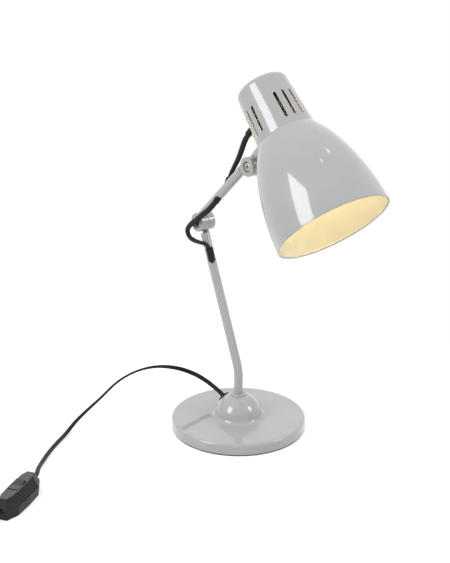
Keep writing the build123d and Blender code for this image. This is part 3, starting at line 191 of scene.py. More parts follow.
# How far the flat cord leans from standing on its edge, in degrees, at shares of its length
CORD_LEANS = [
    (0.0, 39), (0.1, 33), (0.155, 22), (0.19, -1), (0.23, -18), (0.27, -42), (0.335, -62), (0.45, -66),
    (0.6, -84), (0.7, -90), (1.0, -90),
]
SPARE_LEANS = [(0.0, 90), (0.03, 90), (0.085, 4), (0.955, 0), (0.985, 84), (1.0, 90)]

# The spare length: away from the switch and round into a coil
TAIL_POINTS = [
    SWITCH_START + SWITCH_ALONG * 60.0,
    SWITCH_START + SWITCH_ALONG * 76.0,
    (-331.0, -32.2, 6.6),
    (-349.0, -34.8, 4.4),
    (-366.0, -28.6, 3.2),
    (-377.3, -15.0, 2.7),
    (-381.4, 4.5, 2.6),
    (-381.4, 18.0, 2.6),
]

# The coil: its left edge and middle, the radii of its half turns, and the two layers' heights
COIL_LEFT = -381.4
COIL_Y = 27.9
COIL_RADII = [38.6, 35.8, 33.0, 30.2, 27.4, 24.6, 21.8, 24.6, 27.4, 30.2, 33.0, 35.8]
COIL_CLIMB = 6
COIL_LOW = 2.6
COIL_HIGH = 7.85
COIL_STEPS = 8
PLUG_HEIGHT = 7.0

# The sleeves, and the leads inside the tubes
LOWER_SLEEVE = [
    along(lower_outlet, 2.0),
    along(lower_outlet, 20.5),
    (-14.2, 46.0, 240.0),
    (-14.6, 56.5, 231.5),
    (-14.2, 68.0, 224.0),
    (-12.9, 77.5, 214.5),
    (-11.2, 73.5, 205.0),
    (-8.6, 61.5, 203.6),
    along(stem_outlet, 27.6),
    along(stem_outlet, 16.85),
]
UPPER_SLEEVE = [
    along(upper_outlet, 2.0),
    along(upper_outlet, 19.5),
    (-2.2, 6.2, 299.0),
    (-1.3, -0.8, 310.5),
    (-0.8, -5.2, 320.6),
    along(neck_entry, 28.0),
    along(neck_entry, 16.05),
]
STEM_LEAD = [
    along(gland, CLAMP_DISTANCE),
    along(gland, 6.0),
    (0, 0, 19.6),
    (0, 0, BEND_HEIGHT),
    stem @ Vector((0, 0, 120.1)),
]
ARM_LEAD = [
    arm_tube @ Vector((0, 0, 56.05)),
    arm_tube @ Vector((0, 0, 61.5)),
    arm_tube @ Vector((0, 0, 66.95)),
]
HEAD_LEAD = [
    along(neck_entry, -3.6),
    head @ Vector((0, 21.2, 31.6)),
    head @ Vector((0, 21.5, 47.4)),
    along(cap_entry, 4.5),
    along(cap_entry, -4.0),
]


# Routes and sweeps


def spline_points(points):
    """The points, in metres, of the smooth line whose control points are given in millimetres."""
    curve = bpy.data.curves.new("route", "CURVE")
    curve.dimensions = "3D"
    spline = curve.splines.new("NURBS")
    spline.points.add(len(points) - 1)
    for point, place in zip(spline.points, points):
        point.co = (*(Vector(place) * MM), 1)
    spline.order_u = 3
    spline.use_endpoint_u = True
    spline.resolution_u = 12
    holder = bpy.data.objects.new("route", curve)
    mesh = bpy.data.meshes.new_from_object(holder)
    found = [vertex.co.copy() for vertex in mesh.vertices]
    bpy.data.meshes.remove(mesh)
    bpy.data.objects.remove(holder)
    bpy.data.curves.remove(curve)
    return found


def even_points(path, step):
    """The same line with its points evenly spaced, and their distances from its start."""
    reach = [0.0]
    for before, after in zip(path, path[1:]):
        reach.append(reach[-1] + (after - before).length)
    count = max(2, round(reach[-1] / step))
    spaced = []
    here = 0
    for index in range(count + 1):
        wanted = reach[-1] * index / count
        while here < len(path) - 2 and reach[here + 1] < wanted:
            here += 1
        share = (wanted - reach[here]) / max(reach[here + 1] - reach[here], 1e-9)
        spaced.append(path[here].lerp(path[here + 1], min(max(share, 0.0), 1.0)))
    return spaced, [reach[-1] * index / count for index in range(count + 1)]


def tangents(path):
    """The unit direction of the line at each of its points."""
    found = []
    for index in range(len(path)):
        before = path[max(index - 1, 0)]
        after = path[min(index + 1, len(path) - 1)]
        found.append((after - before).normalized())
    return found


def carried_sides(path):
    """A sideways direction at each point, carried along the line without twist."""
    directions = tangents(path)
    side = directions[0].orthogonal().normalized()
    found = []
    for direction in directions:
        side = (side - direction * side.dot(direction)).normalized()
        found.append(side)
    return found


def sweep(name, path, sides, ring_at):
    """A closed mesh around a line. ring_at(index) gives the section as (side, rise) pairs in metres."""
    vertices = []
    directions = tangents(path)
    for index, (centre, side, direction) in enumerate(zip(path, sides, directions)):
        rise = direction.cross(side)
        for across, up in ring_at(index):
            vertices.append(centre + side * across + rise * up)
    count = len(ring_at(0))
    faces = []
    for ring in range(len(path) - 1):
        for corner in range(count):
            beside = (corner + 1) % count
            low = ring * count
            high = low + count
            faces.append((low + corner, low + beside, high + beside, high + corner))
    faces.append(tuple(reversed(range(count))))
    last = (len(path) - 1) * count
    faces.append(tuple(range(last, last + count)))
    mesh = bpy.data.meshes.new(name)
    mesh.from_pydata(vertices, [], faces)
    mesh.polygons.foreach_set("use_smooth", [len(face) == 4 for face in faces])
    mesh.update()
    made = bpy.data.objects.new(name, mesh)
    bpy.context.scene.collection.objects.link(made)
    return made


def between(table, share):
    """The value at this share, read from (share, value) pairs."""
    for (start, low), (end, high) in zip(table, table[1:]):
        if share <= end:
            return low + (high - low) * (share - start) / (end - start)
    return table[-1][1]


def round_tube(name, points, radius):
    """A plain round lead along a smooth line."""
    path, _ = even_points(spline_points(points), LEAD_STEP * MM)
    ring = []
    for step in range(LEAD_SIDES):
        around = 2 * pi * step / LEAD_SIDES
        ring.append((radius * MM * cos(around), radius * MM * sin(around)))
    return sweep(name, path, carried_sides(path), lambda index: ring)


def twin_section():
    """The outline of a flat twin cord: two round edges with a shallow groove between the cores."""
    outline = []
    for sign in (1, -1):
        for step in range(LOBE_STEPS + 1):
            angle = pi * (step / LOBE_STEPS - 0.5)
            outline.append(
                (sign * (CORD_SPREAD + CORD_LOBE * cos(angle)), sign * CORD_LOBE * sin(angle))
            )
        for step in range(1, LOBE_STEPS):
            across = CORD_SPREAD * (1 - 2 * step / LOBE_STEPS)
            dip = CORD_GROOVE * exp(-((across / GROOVE_WIDTH) ** 2))
            outline.append((sign * across, sign * (CORD_LOBE - dip)))
    return outline


def twin_cord(name, points, leans):
    """A flat twin cord that leans over by the given table as it runs."""
    path, reach = even_points(spline_points(points), CORD_STEP * MM)
    outline = twin_section()
    sides = []
    for index, direction in enumerate(tangents(path)):
        level = direction.cross(Vector((0, 0, 1))).normalized()
        upright = level.cross(direction).normalized()
        lean = radians(between(leans, reach[index] / reach[-1]))
        sides.append(upright * cos(lean) + level * sin(lean))
    ring = [(across * MM, up * MM) for across, up in outline]
    return sweep(name, path, sides, lambda index: ring), path


def coil_points():
    """Control points of the coil: half turns that close in, climb a layer and open out again."""
    points = []
    start = COIL_LEFT
    forward = 1
    for turn, radius in enumerate(COIL_RADII):
        centre = start + forward * radius
        reach = radius / cos(pi / COIL_STEPS / 2)
        for step in range(COIL_STEPS):
            share = (step + 0.5) / COIL_STEPS
            angle = pi * share
            if turn < COIL_CLIMB:
                height = COIL_LOW
            elif turn == COIL_CLIMB:
                height = COIL_LOW + (COIL_HIGH - COIL_LOW) * share
            else:
                height = COIL_HIGH
            x = centre - forward * reach * cos(angle)
            points.append((x, COIL_Y + forward * reach * sin(angle), height))
        start += forward * 2 * radius
        forward = -forward
    return points


def spare_points():
    """The spare length from the switch through the coil to the plug."""
    coil = coil_points()
    run_out = [
        (COIL_LEFT, 34.0, COIL_HIGH),
        (COIL_LEFT, 46.0, 7.6),
        (COIL_LEFT, 56.0, PLUG_HEIGHT),
        (COIL_LEFT, 63.3, PLUG_HEIGHT),
    ]
    return TAIL_POINTS + coil + run_out


def braid_height(around, distance):
    """How high the weave stands, from 0 to 1, where two families of strands cross."""
    first = (WEAVE_STRANDS * around + 2 * pi * distance / WEAVE_PITCH) / 2
    second = (WEAVE_STRANDS * around - 2 * pi * distance / WEAVE_PITCH) / 2
    over = (floor(first / pi) + floor(second / pi)) % 2 == 0
    high = abs(cos(first)) * (1.0 if over else 0.5)
    low = abs(cos(second)) * (0.5 if over else 1.0)
    return max(high, low)


def braided_sleeve(name, points, radii, tufts):
    """A woven sleeve along a smooth line, with loose tufts of thread at (share, angle, height)."""
    path, reach = even_points(spline_points(points), WEAVE_STEP * MM)

    def ring_at(index):
        distance = reach[index] / MM
        share = reach[index] / reach[-1]
        radius = between(radii, share)
        ring = []
        for step in range(WEAVE_SIDES):
            around = 2 * pi * step / WEAVE_SIDES
            out = radius - WEAVE_HEIGHT + WEAVE_HEIGHT * braid_height(around, distance)
            for place, angle, height in tufts:
                near = (distance - place * reach[-1] / MM) / TUFT_LENGTH
                turn = (around - radians(angle) + pi) % (2 * pi) - pi
                out += height * max(0.0, 1 - near * near) * max(0.0, 1 - (turn / TUFT_TURN) ** 2)
            ring.append((out * MM * cos(around), out * MM * sin(around)))
        return ring

    rings = [ring_at(index) for index in range(len(path))]
    return sweep(name, path, carried_sides(path), lambda index: rings[index])


# Materials


class Paint:
    """A material under construction, with short names for the nodes that it uses."""

    def __init__(self, name):
        self.material = bpy.data.materials.new(name)
        self.material.use_nodes = True
        self.tree = self.material.node_tree
        self.shader = self.tree.nodes["Principled BSDF"]
        self.places = self.tree.nodes.new("ShaderNodeTexCoord").outputs["Object"]

    def set(self, **values):
        for key, value in values.items():
            self.shader.inputs[key.replace("_", " ")].default_value = value

    def link(self, source, target):
        self.tree.links.new(source, target)

    def noise(self, scale, detail=3.0, stretch=None):
        """Noise over the object; scale is features per metre."""
        made = self.tree.nodes.new("ShaderNodeTexNoise")
        made.inputs["Scale"].default_value = scale
        made.inputs["Detail"].default_value = detail
        source = self.places
        if stretch is not None:
            mapping = self.tree.nodes.new("ShaderNodeMapping")
            mapping.inputs["Scale"].default_value = stretch
            self.link(source, mapping.inputs["Vector"])
            source = mapping.outputs["Vector"]
        self.link(source, made.inputs["Vector"])
        return made.outputs["Fac"]

    def grains(self, scale):
        """Cell noise over the object, for moulded and cast grain."""
        made = self.tree.nodes.new("ShaderNodeTexVoronoi")
        made.inputs["Scale"].default_value = scale
        self.link(self.places, made.inputs["Vector"])
        return made.outputs["Distance"]

    def ranged(self, source, low, high, start=0.3, end=0.7):
        """The source between start and end, stretched to low and high."""
        made = self.tree.nodes.new("ShaderNodeMapRange")
        made.inputs["From Min"].default_value = start
        made.inputs["From Max"].default_value = end
        made.inputs["To Min"].default_value = low
        made.inputs["To Max"].default_value = high
        self.link(source, made.inputs["Value"])
        return made.outputs["Result"]

    def mixed(self, share, first, second):
        """Two colours, or two colour outputs, mixed by share."""
        made = self.tree.nodes.new("ShaderNodeMix")
        made.data_type = "RGBA"
        self.link(share, made.inputs["Factor"])
        for socket, value in ((made.inputs[6], first), (made.inputs[7], second)):
            if isinstance(value, tuple):
                socket.default_value = (*value, 1)
            else:
                self.link(value, socket)
        return made.outputs[2]

    def math(self, operation, first, second):
        """A math node's result for two values or outputs."""
        made = self.tree.nodes.new("ShaderNodeMath")
        made.operation = operation
        for socket, value in zip(made.inputs, (first, second)):
            if isinstance(value, (int, float)):
                socket.default_value = value
            else:
                self.link(value, socket)
        return made.outputs[0]

    def vector(self, operation, first, second, output="Vector"):
        """A vector math node of two vectors or outputs."""
        made = self.tree.nodes.new("ShaderNodeVectorMath")
        made.operation = operation
        for socket, value in zip(made.inputs, (first, second)):
            if isinstance(value, (tuple, Vector)):
                socket.default_value = tuple(value)
            else:
                self.link(value, socket)
        return made.outputs[output]

    def bumps(self, *layers):
        """Bump from (height, strength, distance in millimetres) layers, coat included."""
        normal = None
        for height, strength, distance in layers:
            made = self.tree.nodes.new("ShaderNodeBump")
            made.inputs["Strength"].default_value = strength
            made.inputs["Distance"].default_value = distance * MM
            self.link(height, made.inputs["Height"])
            if normal is not None:
                self.link(normal, made.inputs["Normal"])
            normal = made.outputs["Normal"]
        self.link(normal, self.shader.inputs["Normal"])
        return normal

    def painted_recess_shade(self, source, dark, reach):
        """The colour turned to a dark painted shade down in narrow recesses, where little light falls; reach
        is in millimetres.
        """
        made = self.tree.nodes.new("ShaderNodeAmbientOcclusion")
        made.inputs["Distance"].default_value = reach * MM
        made.samples = 8
        made.only_local = True
        return self.mixed(self.ranged(made.outputs["AO"], 0.0, 1.0, 0.25, 0.62), dark, source)

    def colour(self, source):
        self.link(source, self.shader.inputs["Base Color"])

    def roughness(self, source):
        self.link(source, self.shader.inputs["Roughness"])


# The enamel's grey, and the deeper grey that mottles it
GREY = (0.362, 0.366, 0.366)
GREY_DEEP = (0.342, 0.347, 0.347)
REFLECTOR_WHITE = (0.58, 0.6, 0.53)
BARE_RIM = (0.27, 0.185, 0.11)
# The dark of the painted shade down in the plated parts' recesses
RECESS_SHADE_DARK = (0.06, 0.055, 0.05)


def enamel_finish(paint):
    """Gloss enamel: faint mottling, brushed-out haze and the fine waves of sprayed paint."""
    mottle = paint.ranged(paint.noise(28, 4), 0.0, 1.0)
    haze = paint.noise(260, 5, stretch=(1.0, 1.0, 0.25))
    paint.roughness(paint.ranged(haze, 0.3, 0.44))
    paint.set(Coat_Weight=1.0, Coat_Roughness=0.08, Coat_IOR=1.7, Specular_IOR_Level=0.2)
    waves = paint.bumps((paint.noise(330, 2), 0.06, 0.12), (paint.noise(1900, 2), 0.05, 0.02))
    paint.link(waves, paint.shader.inputs["Coat Normal"])
    return mottle


def enamel():
    paint = Paint("grey_enamel")
    mottle = enamel_finish(paint)
    paint.colour(paint.mixed(mottle, GREY_DEEP, GREY))
    return paint.material


def shade_enamel():
    """Grey outside, a white reflector inside and a line of bare, browned metal along the rim."""
    paint = Paint("shade_enamel")
    mottle = enamel_finish(paint)
    outside = paint.mixed(mottle, GREY_DEEP, GREY)
    centre = tuple(head.translation * MM)
    from_centre = paint.vector("SUBTRACT", paint.places, centre)
    height = paint.vector("DOT_PRODUCT", from_centre, to_cap, "Value")
    axial = paint.tree.nodes.new("ShaderNodeVectorMath")
    axial.operation = "SCALE"
    axial.inputs[0].default_value = tuple(to_cap)
    paint.link(height, axial.inputs["Scale"])
    radial = paint.vector("SUBTRACT", from_centre, axial.outputs["Vector"])
    normals = paint.places.node.outputs["Normal"]
    facing = paint.vector("DOT_PRODUCT", radial, normals, "Value")
    inside = paint.ranged(facing, 1.0, 0.0, -0.0005, 0.0005)
    walls = paint.mixed(inside, outside, REFLECTOR_WHITE)
    scratch = paint.ranged(paint.noise(420, 4), -0.25, 0.25)
    depth = paint.math("DIVIDE", paint.math("ADD", height, MOUTH_DEPTH * MM), MM)
    worn = paint.ranged(paint.math("ADD", depth, scratch), 1.0, 0.0, 0.15, 0.55)
    paint.colour(paint.mixed(worn, walls, BARE_RIM))
    return paint.material


def cast_iron():
    paint = Paint("cast_iron")
    rust = paint.ranged(paint.noise(180, 6), 0, 1)
    paint.colour(paint.mixed(rust, (0.05, 0.048, 0.045), (0.1, 0.075, 0.055)))
    paint.roughness(paint.ranged(paint.noise(600, 4), 0.6, 0.85))
    paint.set(Metallic=0.6)
    paint.bumps((paint.grains(900), 0.5, 0.3))
    return paint.material


def plated(name, light, dark, roughness=(0.18, 0.34)):
    """Plated metal with fine turning marks, and painted shade darkening its recesses."""
    paint = Paint(name)
    metal = paint.mixed(paint.ranged(paint.noise(520, 5), 0, 1), dark, light)
    # Painted shade: the metal's colour turns dark down in its recesses
    paint.colour(paint.painted_recess_shade(metal, RECESS_SHADE_DARK, 1.2))
    paint.roughness(paint.ranged(paint.noise(1400, 4, stretch=(6, 1, 1)), *roughness))
    paint.set(Metallic=1.0)
    paint.bumps((paint.noise(2600, 3, stretch=(5, 1, 1)), 0.12, 0.02))
    return paint.material


def matt(name, dark, light, grain, roughness, depth=0.05, gloss=0.4):
    """A dull moulded or pressed material with a fine grain."""
    paint = Paint(name)
    paint.colour(paint.mixed(paint.ranged(paint.noise(240, 5), 0, 1), dark, light))
    paint.roughness(paint.ranged(paint.noise(900, 4), *roughness))
    paint.set(Specular_IOR_Level=gloss)
    paint.bumps((paint.noise(grain, 3), 0.35, depth))
    return paint.material


def cord_vinyl():
    """Black vinyl with a soft sheen, a faint bloom of dust and the ripple of the extruder."""
    paint = Paint("cord_vinyl")
    bloom = paint.ranged(paint.noise(150, 6), 0, 1, 0.45, 0.75)
    paint.colour(paint.mixed(bloom, (0.004, 0.0045, 0.005), (0.01, 0.0105, 0.011)))
    paint.roughness(paint.ranged(paint.noise(700, 4), 0.34, 0.5))
    paint.set(Specular_IOR_Level=0.22)
    paint.bumps((paint.noise(500, 3), 0.2, 0.06), (paint.noise(3000, 2), 0.15, 0.02))
    return paint.material


def sleeving():
    """Black woven glass sleeving: dull threads with a dusty sheen."""
    paint = Paint("woven_sleeving")
    dust = paint.ranged(paint.noise(900, 6), 0, 1, 0.4, 0.75)
    paint.colour(paint.mixed(dust, (0.008, 0.0085, 0.009), (0.026, 0.027, 0.029)))
    paint.roughness(paint.ranged(paint.noise(1500, 3), 0.6, 0.8))
    paint.set(Specular_IOR_Level=0.25, Sheen_Weight=0.06, Sheen_Roughness=0.5)
    paint.bumps((paint.noise(4200, 3), 0.5, 0.08))
    return paint.material


def switch_plastic():
    """Black moulded plastic with the fine grain of a spark-etched mould, and a painted sheen of reflected
    light, speckled, on its top.
    """
    paint = Paint("switch_plastic")
    rub = paint.ranged(paint.noise(320, 6), 0, 1, 0.5, 0.78)
    sides = paint.mixed(rub, (0.0035, 0.0046, 0.006), (0.011, 0.0125, 0.015))
    speckle = paint.ranged(paint.noise(2600, 3), 0, 1, 0.42, 0.6)
    # Painted sheen: the upward faces are drawn paler and speckled, as if they reflect the bright light above
    painted_top_sheen = paint.mixed(speckle, (0.04, 0.042, 0.045), (0.11, 0.113, 0.118))
    normals = paint.places.node.outputs["Normal"]
    upward = paint.vector("DOT_PRODUCT", normals, (0, 0, 1), "Value")
    paint.colour(paint.mixed(paint.ranged(upward, 0, 1, 0.9, 0.98), sides, painted_top_sheen))
    paint.roughness(paint.ranged(paint.noise(1500, 4), 0.3, 0.55))
    paint.set(Specular_IOR_Level=0.28)
    paint.bumps((paint.noise(2300, 2), 0.5, 0.07), (paint.noise(700, 3), 0.2, 0.06))
    return paint.material


def bulb_glass():
    """Frosted glass of a lit lamp."""
    paint = Paint("lit_glass")
    paint.colour(paint.mixed(paint.ranged(paint.noise(60, 3), 0, 1), (1.0, 0.93, 0.8), (1.0, 0.96, 0.86)))
    paint.roughness(paint.ranged(paint.noise(800, 3), 0.25, 0.4))
    paint.set(Emission_Strength=3.0, Emission_Color=(1.0, 0.74, 0.42, 1), Transmission_Weight=0.3)
    paint.bumps((paint.noise(1200, 3), 0.1, 0.02))
    return paint.material


def clear_glass():
    paint = Paint("clear_glass")
    paint.colour(paint.mixed(paint.ranged(paint.noise(90, 2), 0, 1), (0.95, 0.97, 0.96), (1.0, 1.0, 1.0)))
    paint.roughness(paint.ranged(paint.noise(300, 2), 0.02, 0.08))
    paint.set(Transmission_Weight=1.0)
    paint.bumps((paint.noise(300, 2), 0.05, 0.05))
    return paint.material


def filament():
    paint = Paint("glowing_wire")
    paint.colour(paint.mixed(paint.ranged(paint.noise(2000, 3), 0, 1), (0.5, 0.45, 0.4), (0.7, 0.62, 0.5)))
    paint.roughness(paint.ranged(paint.noise(2000, 3), 0.3, 0.5))
    paint.set(Metallic=1.0, Emission_Strength=12.0, Emission_Color=(1.0, 0.7, 0.35, 1))
    return paint.material


MATERIALS = {
    "enamel": enamel(),
    "iron": cast_iron(),
    "zinc": plated("zinc_plate", (0.62, 0.62, 0.6), (0.46, 0.46, 0.45), (0.28, 0.45)),
    "nickel": plated("warm_nickel", (0.6, 0.57, 0.48), (0.4, 0.37, 0.3)),
    "chrome": plated("bright_chrome", (0.8, 0.8, 0.8), (0.7, 0.7, 0.7), (0.05, 0.14)),
    "brass": plated("plain_brass", (0.8, 0.6, 0.3), (0.6, 0.42, 0.2)),
    "pad": matt("foam_pad", (0.02, 0.02, 0.02), (0.045, 0.044, 0.042), 2500, (0.8, 0.95), 0.12),
    "fibre": matt("pressed_fibre", (0.02, 0.02, 0.02), (0.05, 0.048, 0.045), 3000, (0.7, 0.9), 0.06),
    "black_rubber": matt(
        "black_rubber", (0.005, 0.005, 0.0055), (0.014, 0.014, 0.015), 1800, (0.4, 0.6), gloss=0.22
    ),
    "sleeving": sleeving(),
    "cord_vinyl": cord_vinyl(),
    "switch_plastic": switch_plastic(),
    "black_plastic": matt("black_plastic", (0.014, 0.014, 0.015), (0.035, 0.035, 0.036), 2600, (0.35, 0.55)),
    "holder_plastic": matt("dark_bakelite", (0.02, 0.014, 0.011), (0.045, 0.032, 0.026), 1400, (0.25, 0.4)),
    "insulator": matt("glazed_insulator", (0.72, 0.7, 0.64), (0.84, 0.82, 0.77), 900, (0.15, 0.3)),
    "bulb_glass": bulb_glass(),
    "clear_glass": clear_glass(),
    "filament": filament(),
}


def dress_solids():
    """Every solid gets the finished material of its slot."""
    for node in nodes.values():
        slots = node.data.materials
        for index, old in enumerate(slots):
            slots[index] = MATERIALS[old.name.split(".")[0]]
    nodes["shade"].data.materials[0] = shade_enamel()


# Pieces


def dress(piece, slot):
    """A new piece takes the material of this slot."""
    piece.data.materials.append(MATERIALS[slot])


def add_mains_cord():
    """The cord from the clamp in the dome to the switch, with the switch on it."""
    cord, path = twin_cord("mains_cord", CORD_POINTS, CORD_LEANS)
    dress(cord, "cord_vinyl")
    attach(cord, "base")
    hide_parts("cord")


def add_spare_cord():
    """The put-away length, tied in its coil, with the plug at its end."""
    cord, path = twin_cord("spare_cord", spare_points(), SPARE_LEANS)
    dress(cord, "cord_vinyl")
    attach(cord, "base")
    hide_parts("cord_tail", "cord_coil")
    add_tie()


def add_tie():
    """A strip with a wire in its middle, bent round the turns, its ends twisted together."""
    middle = Vector((COIL_LEFT + COIL_RADII[0], COIL_Y, 0))
    near = -20.7
    far = -38.9
    low = 0.7
    high = 11.4
    corner = 2.4
    wire_radius = 0.55
    twist_radius = 0.8
    twist_turn = 1.3
    twist_step = 1.3
    twist_drop = 0.5
    loop = []
    for y, z, start in ((near, high, 0), (far, high, 90), (far, low, 180), (near, low, 270)):
        inner_y = y - corner if y == near else y + corner
        inner_z = z - corner if z == high else z + corner
        for step in range(7):
            angle = radians(start + 15 * step)
            loop.append((inner_y + corner * cos(angle), inner_z + corner * sin(angle)))
    outline = [
        (-2.5, 0.0), (-2.3, 0.25), (-0.6, 0.25), (0.0, 0.55), (0.6, 0.25), (2.3, 0.25), (2.5, 0.0),
        (2.3, -0.2), (-2.3, -0.2),
    ]
    vertices = []
    for index, (y, z) in enumerate(loop):
        before = Vector(loop[index - 1])
        after = Vector(loop[(index + 1) % len(loop)])
        run = (after - before).normalized()
        out = Vector((run.y, -run.x))
        for across, rise in outline:
            vertices.append((middle + Vector((across, y + out.x * rise, z + out.y * rise))) * MM)
    count = len(outline)
    faces = []
    for ring in range(len(loop)):
        following = (ring + 1) % len(loop)
        for corner_index in range(count):
            beside = (corner_index + 1) % count
            faces.append(
                (ring * count + corner_index, ring * count + beside,
                 following * count + beside, following * count + corner_index)
            )
    mesh = bpy.data.meshes.new("coil_tie")
    mesh.from_pydata(vertices, [], faces)
    mesh.polygons.foreach_set("use_smooth", [True] * len(faces))
    tie = bpy.data.objects.new("coil_tie", mesh)
    bpy.context.scene.collection.objects.link(tie)
    dress(tie, "black_plastic")
    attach(tie, "base")
    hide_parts("cord_tie")
    start = middle + Vector((0, far - 0.4, 8.0))
    for sign in (1, -1):
        points = [start]
        for step in range(1, 8):
            turn = step * twist_turn + (pi if sign < 0 else 0)
            across = cos(turn) * twist_radius
            rise = sin(turn) * twist_radius - step * twist_drop
            points.append(start + Vector((across, -step * twist_step, rise)))
        end = round_tube("tie_end_" + ("a" if sign > 0 else "b"), points, wire_radius)
        dress(end, "black_plastic")
        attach(end, "base")
    return tie


def add_sleeves():
    """Both sleeves, with their radii and tufts given at shares of their lengths."""
    lower = braided_sleeve(
        "lower_sleeving", LOWER_SLEEVE,
        [(0.0, 2.5), (0.14, 3.05), (0.5, 2.95), (0.7, 2.45), (0.88, 2.15), (1.0, 2.4)],
        [(0.36, 60, 0.9), (0.45, 60, 0.8), (0.74, 250, 0.8)],
    )
    dress(lower, "sleeving")
    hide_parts("lower_sleeve")
    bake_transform(lower)
    upper = braided_sleeve(
        "upper_sleeving", UPPER_SLEEVE,
        [(0.0, 2.3), (0.3, 2.4), (0.55, 2.9), (0.84, 3.0), (0.9, 2.55), (1.0, 2.5)],
        [],
    )
    dress(upper, "sleeving")
    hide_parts("upper_sleeve")
    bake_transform(upper)


def add_leads():
    """The leads inside the stem, the forearm and the neck."""
    for name, points, body, node in (
        ("stem_wire", STEM_LEAD, "base", "stem_lead"),
        ("arm_wire", ARM_LEAD, "arm", "arm_lead"),
        ("head_wire", HEAD_LEAD, "head", "head_lead"),
    ):
        wire = round_tube(name, points, LEAD_RADIUS)
        dress(wire, "cord_vinyl")
        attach(wire, body)
        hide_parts(node)


# Stage, light and camera


def direction(azimuth, elevation):
    """A unit vector towards a point at this azimuth and elevation, in degrees."""
    azimuth, elevation = radians(azimuth), radians(elevation)
    return Vector((sin(azimuth) * cos(elevation), -cos(azimuth) * cos(elevation), sin(elevation)))


def softbox(name, azimuth, elevation, distance, size, power, target, colour=(1, 1, 1), roll=0):
    """A rectangular lamp. Its angles are in degrees, its distance and size in metres, its power in
    watts and its target in millimetres."""
    data = bpy.data.lights.new(name, "AREA")
    data.shape = "RECTANGLE"
    data.size, data.size_y = size
    data.energy = power
    data.color = colour
    lamp = bpy.data.objects.new(name, data)
    bpy.context.scene.collection.objects.link(lamp)
    away = direction(azimuth, elevation)
    lamp.location = Vector(target) * MM + away * distance
    facing = (-away).to_track_quat("-Z", "Y") @ Quaternion((0, 0, 1), radians(roll))
    lamp.rotation_euler = facing.to_euler()
    lamp.visible_camera = False
    return lamp


def add_lights():
    """Soft boxes to the left, in front and overhead, and the light of the bulb itself."""
    shade_middle = (-20, -110, 320)
    softbox("key", -99, 27, 1.4, (0.62, 0.78), 8.2, shade_middle, (0.95, 0.975, 1.0), roll=20)
    softbox("fill", 38, 32, 1.7, (0.46, 0.56), 4.4, (0, 0, 60))
    softbox("top_one", 89, 64, 1.5, (0.07, 0.1), 0.1, shade_middle)
    softbox("top_two", 29, 83, 1.5, (0.07, 0.07), 0.065, shade_middle)
    glow = bpy.data.lights.new("lamp_light", "POINT")
    glow.energy = 0.055
    glow.color = (1.0, 0.76, 0.36)
    glow.shadow_soft_size = 0.018
    lamp = bpy.data.objects.new("lamp_light", glow)
    bpy.context.scene.collection.objects.link(lamp)
    lamp.location = (head @ Vector((0, 0, GLOBE_CENTRE))) * MM
    lamp.visible_camera = False
    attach(lamp, "head")
    for name in ("bulb_glass", "bulb_filament", "bulb_mount"):
        nodes[name].visible_shadow = False


def seen_or_reflected(tree):
    """1 for rays from the camera, a mirror or glass, and 0 for the rest."""
    path = tree.nodes.new("ShaderNodeLightPath")
    total = path.outputs["Is Camera Ray"]
    for name in ("Is Glossy Ray", "Is Transmission Ray"):
        made = tree.nodes.new("ShaderNodeMath")
        made.operation = "MAXIMUM"
        tree.links.new(total, made.inputs[0])
        tree.links.new(path.outputs[name], made.inputs[1])
        total = made.outputs[0]
    return total


def add_world():
    """A pale sky that is plain white to the camera and in reflections."""
    world = bpy.data.worlds.new("studio")
    world.use_nodes = True
    tree = world.node_tree
    back = tree.nodes["Background"]
    level = tree.nodes.new("ShaderNodeMapRange")
    ways = tree.nodes.new("ShaderNodeTexCoord")
    split = tree.nodes.new("ShaderNodeSeparateXYZ")
    sky = tree.nodes.new("ShaderNodeMapRange")
    sky.inputs["To Min"].default_value = SKY_LOW
    sky.inputs["To Max"].default_value = SKY_HIGH
    tree.links.new(ways.outputs["Generated"], split.inputs[0])
    tree.links.new(split.outputs["Z"], sky.inputs["Value"])
    tree.links.new(sky.outputs["Result"], level.inputs["To Min"])
    level.inputs["To Max"].default_value = 1.0
    tree.links.new(seen_or_reflected(tree), level.inputs["Value"])
    tree.links.new(level.outputs["Result"], back.inputs["Strength"])
    back.inputs["Color"].default_value = (1, 1, 1, 1)
    bpy.context.scene.world = world


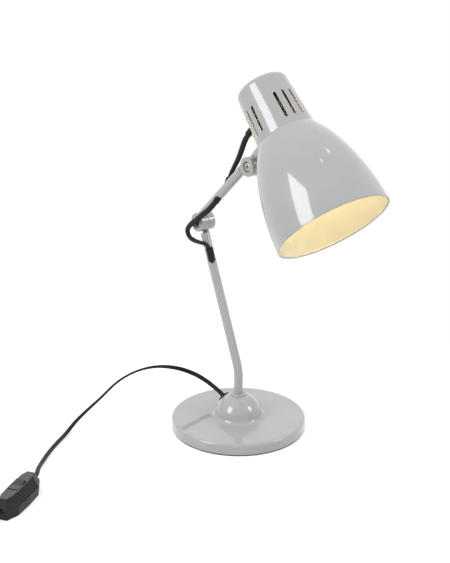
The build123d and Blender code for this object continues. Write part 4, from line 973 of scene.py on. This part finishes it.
def add_floor():
    """A white table top. It keeps the shadow round the lamp and turns to plain white further off."""
    mesh = bpy.data.meshes.new("floor")
    corners = [(-FLOOR_REACH, -FLOOR_REACH, 0), (FLOOR_REACH, -FLOOR_REACH, 0)]
    corners += [(FLOOR_REACH, FLOOR_REACH, 0), (-FLOOR_REACH, FLOOR_REACH, 0)]
    mesh.from_pydata(corners, [], [(0, 1, 2, 3)])
    plane = bpy.data.objects.new("floor", mesh)
    bpy.context.scene.collection.objects.link(plane)
    material = bpy.data.materials.new("white_table")
    material.use_nodes = True
    tree = material.node_tree
    shader = tree.nodes["Principled BSDF"]
    shader.inputs["Base Color"].default_value = (FLOOR_WHITE, FLOOR_WHITE, FLOOR_WHITE, 1)
    shader.inputs["Roughness"].default_value = 0.9
    shader.inputs["Specular IOR Level"].default_value = 0.0
    shader.inputs["Emission Color"].default_value = (1, 1, 1, 1)
    seen = seen_or_reflected(tree)
    lift = tree.nodes.new("ShaderNodeMapRange")
    lift.inputs["To Max"].default_value = FLOOR_LIFT
    tree.links.new(seen, lift.inputs["Value"])
    tree.links.new(lift.outputs["Result"], shader.inputs["Emission Strength"])
    places = tree.nodes.new("ShaderNodeTexCoord")
    distance = tree.nodes.new("ShaderNodeVectorMath")
    distance.operation = "DISTANCE"
    distance.inputs[1].default_value = FADE_CENTRE
    tree.links.new(places.outputs["Object"], distance.inputs[0])
    far = tree.nodes.new("ShaderNodeMapRange")
    far.inputs["From Min"].default_value = FADE_START
    far.inputs["From Max"].default_value = FADE_END
    tree.links.new(distance.outputs["Value"], far.inputs["Value"])
    share = tree.nodes.new("ShaderNodeMath")
    share.operation = "MULTIPLY"
    tree.links.new(far.outputs["Result"], share.inputs[0])
    tree.links.new(seen, share.inputs[1])
    white = tree.nodes.new("ShaderNodeEmission")
    blend = tree.nodes.new("ShaderNodeMixShader")
    tree.links.new(share.outputs[0], blend.inputs["Fac"])
    tree.links.new(shader.outputs[0], blend.inputs[1])
    tree.links.new(white.outputs[0], blend.inputs[2])
    tree.links.new(blend.outputs[0], tree.nodes["Material Output"].inputs["Surface"])
    mesh.materials.append(material)


def add_camera():
    """The photograph's camera, from its fitted azimuth, elevation, distance and focal length."""
    level = Vector((sin(CAMERA_AZIMUTH), -cos(CAMERA_AZIMUTH), 0))
    right = Vector((cos(CAMERA_AZIMUTH), sin(CAMERA_AZIMUTH), 0))
    up = Vector((0, 0, 1))
    pitch = CAMERA_ELEVATION - atan((BASE_PIXEL[1] - PHOTO_CENTRE[1]) / FOCAL_PIXELS)
    forward = -(level * cos(pitch) + up * sin(pitch))
    rise = up * cos(pitch) - level * sin(pitch)
    place = (level * cos(CAMERA_ELEVATION) + up * sin(CAMERA_ELEVATION)) * CAMERA_DISTANCE
    depth = (-place).dot(forward)
    place -= right * ((BASE_PIXEL[0] - PHOTO_CENTRE[0]) / FOCAL_PIXELS * depth)
    data = bpy.data.cameras.new("photo_camera")
    data.sensor_fit = "AUTO"
    data.sensor_width = SENSOR_WIDTH
    data.lens = FOCAL_PIXELS * SENSOR_WIDTH / PHOTO_LONG_SIDE
    data.clip_start = 0.05
    data.clip_end = 20.0
    camera = bpy.data.objects.new("photo_camera", data)
    bpy.context.scene.collection.objects.link(camera)
    turned = Matrix((right, rise, -forward)).transposed().to_4x4()
    turned.translation = place * MM
    camera.matrix_world = turned
    bpy.context.scene.camera = camera


dress_solids()
add_mains_cord()
add_spare_cord()
add_sleeves()
add_leads()
add_camera()
add_world()
add_floor()
add_lights()
bpy.context.scene.view_settings.view_transform = "Standard"
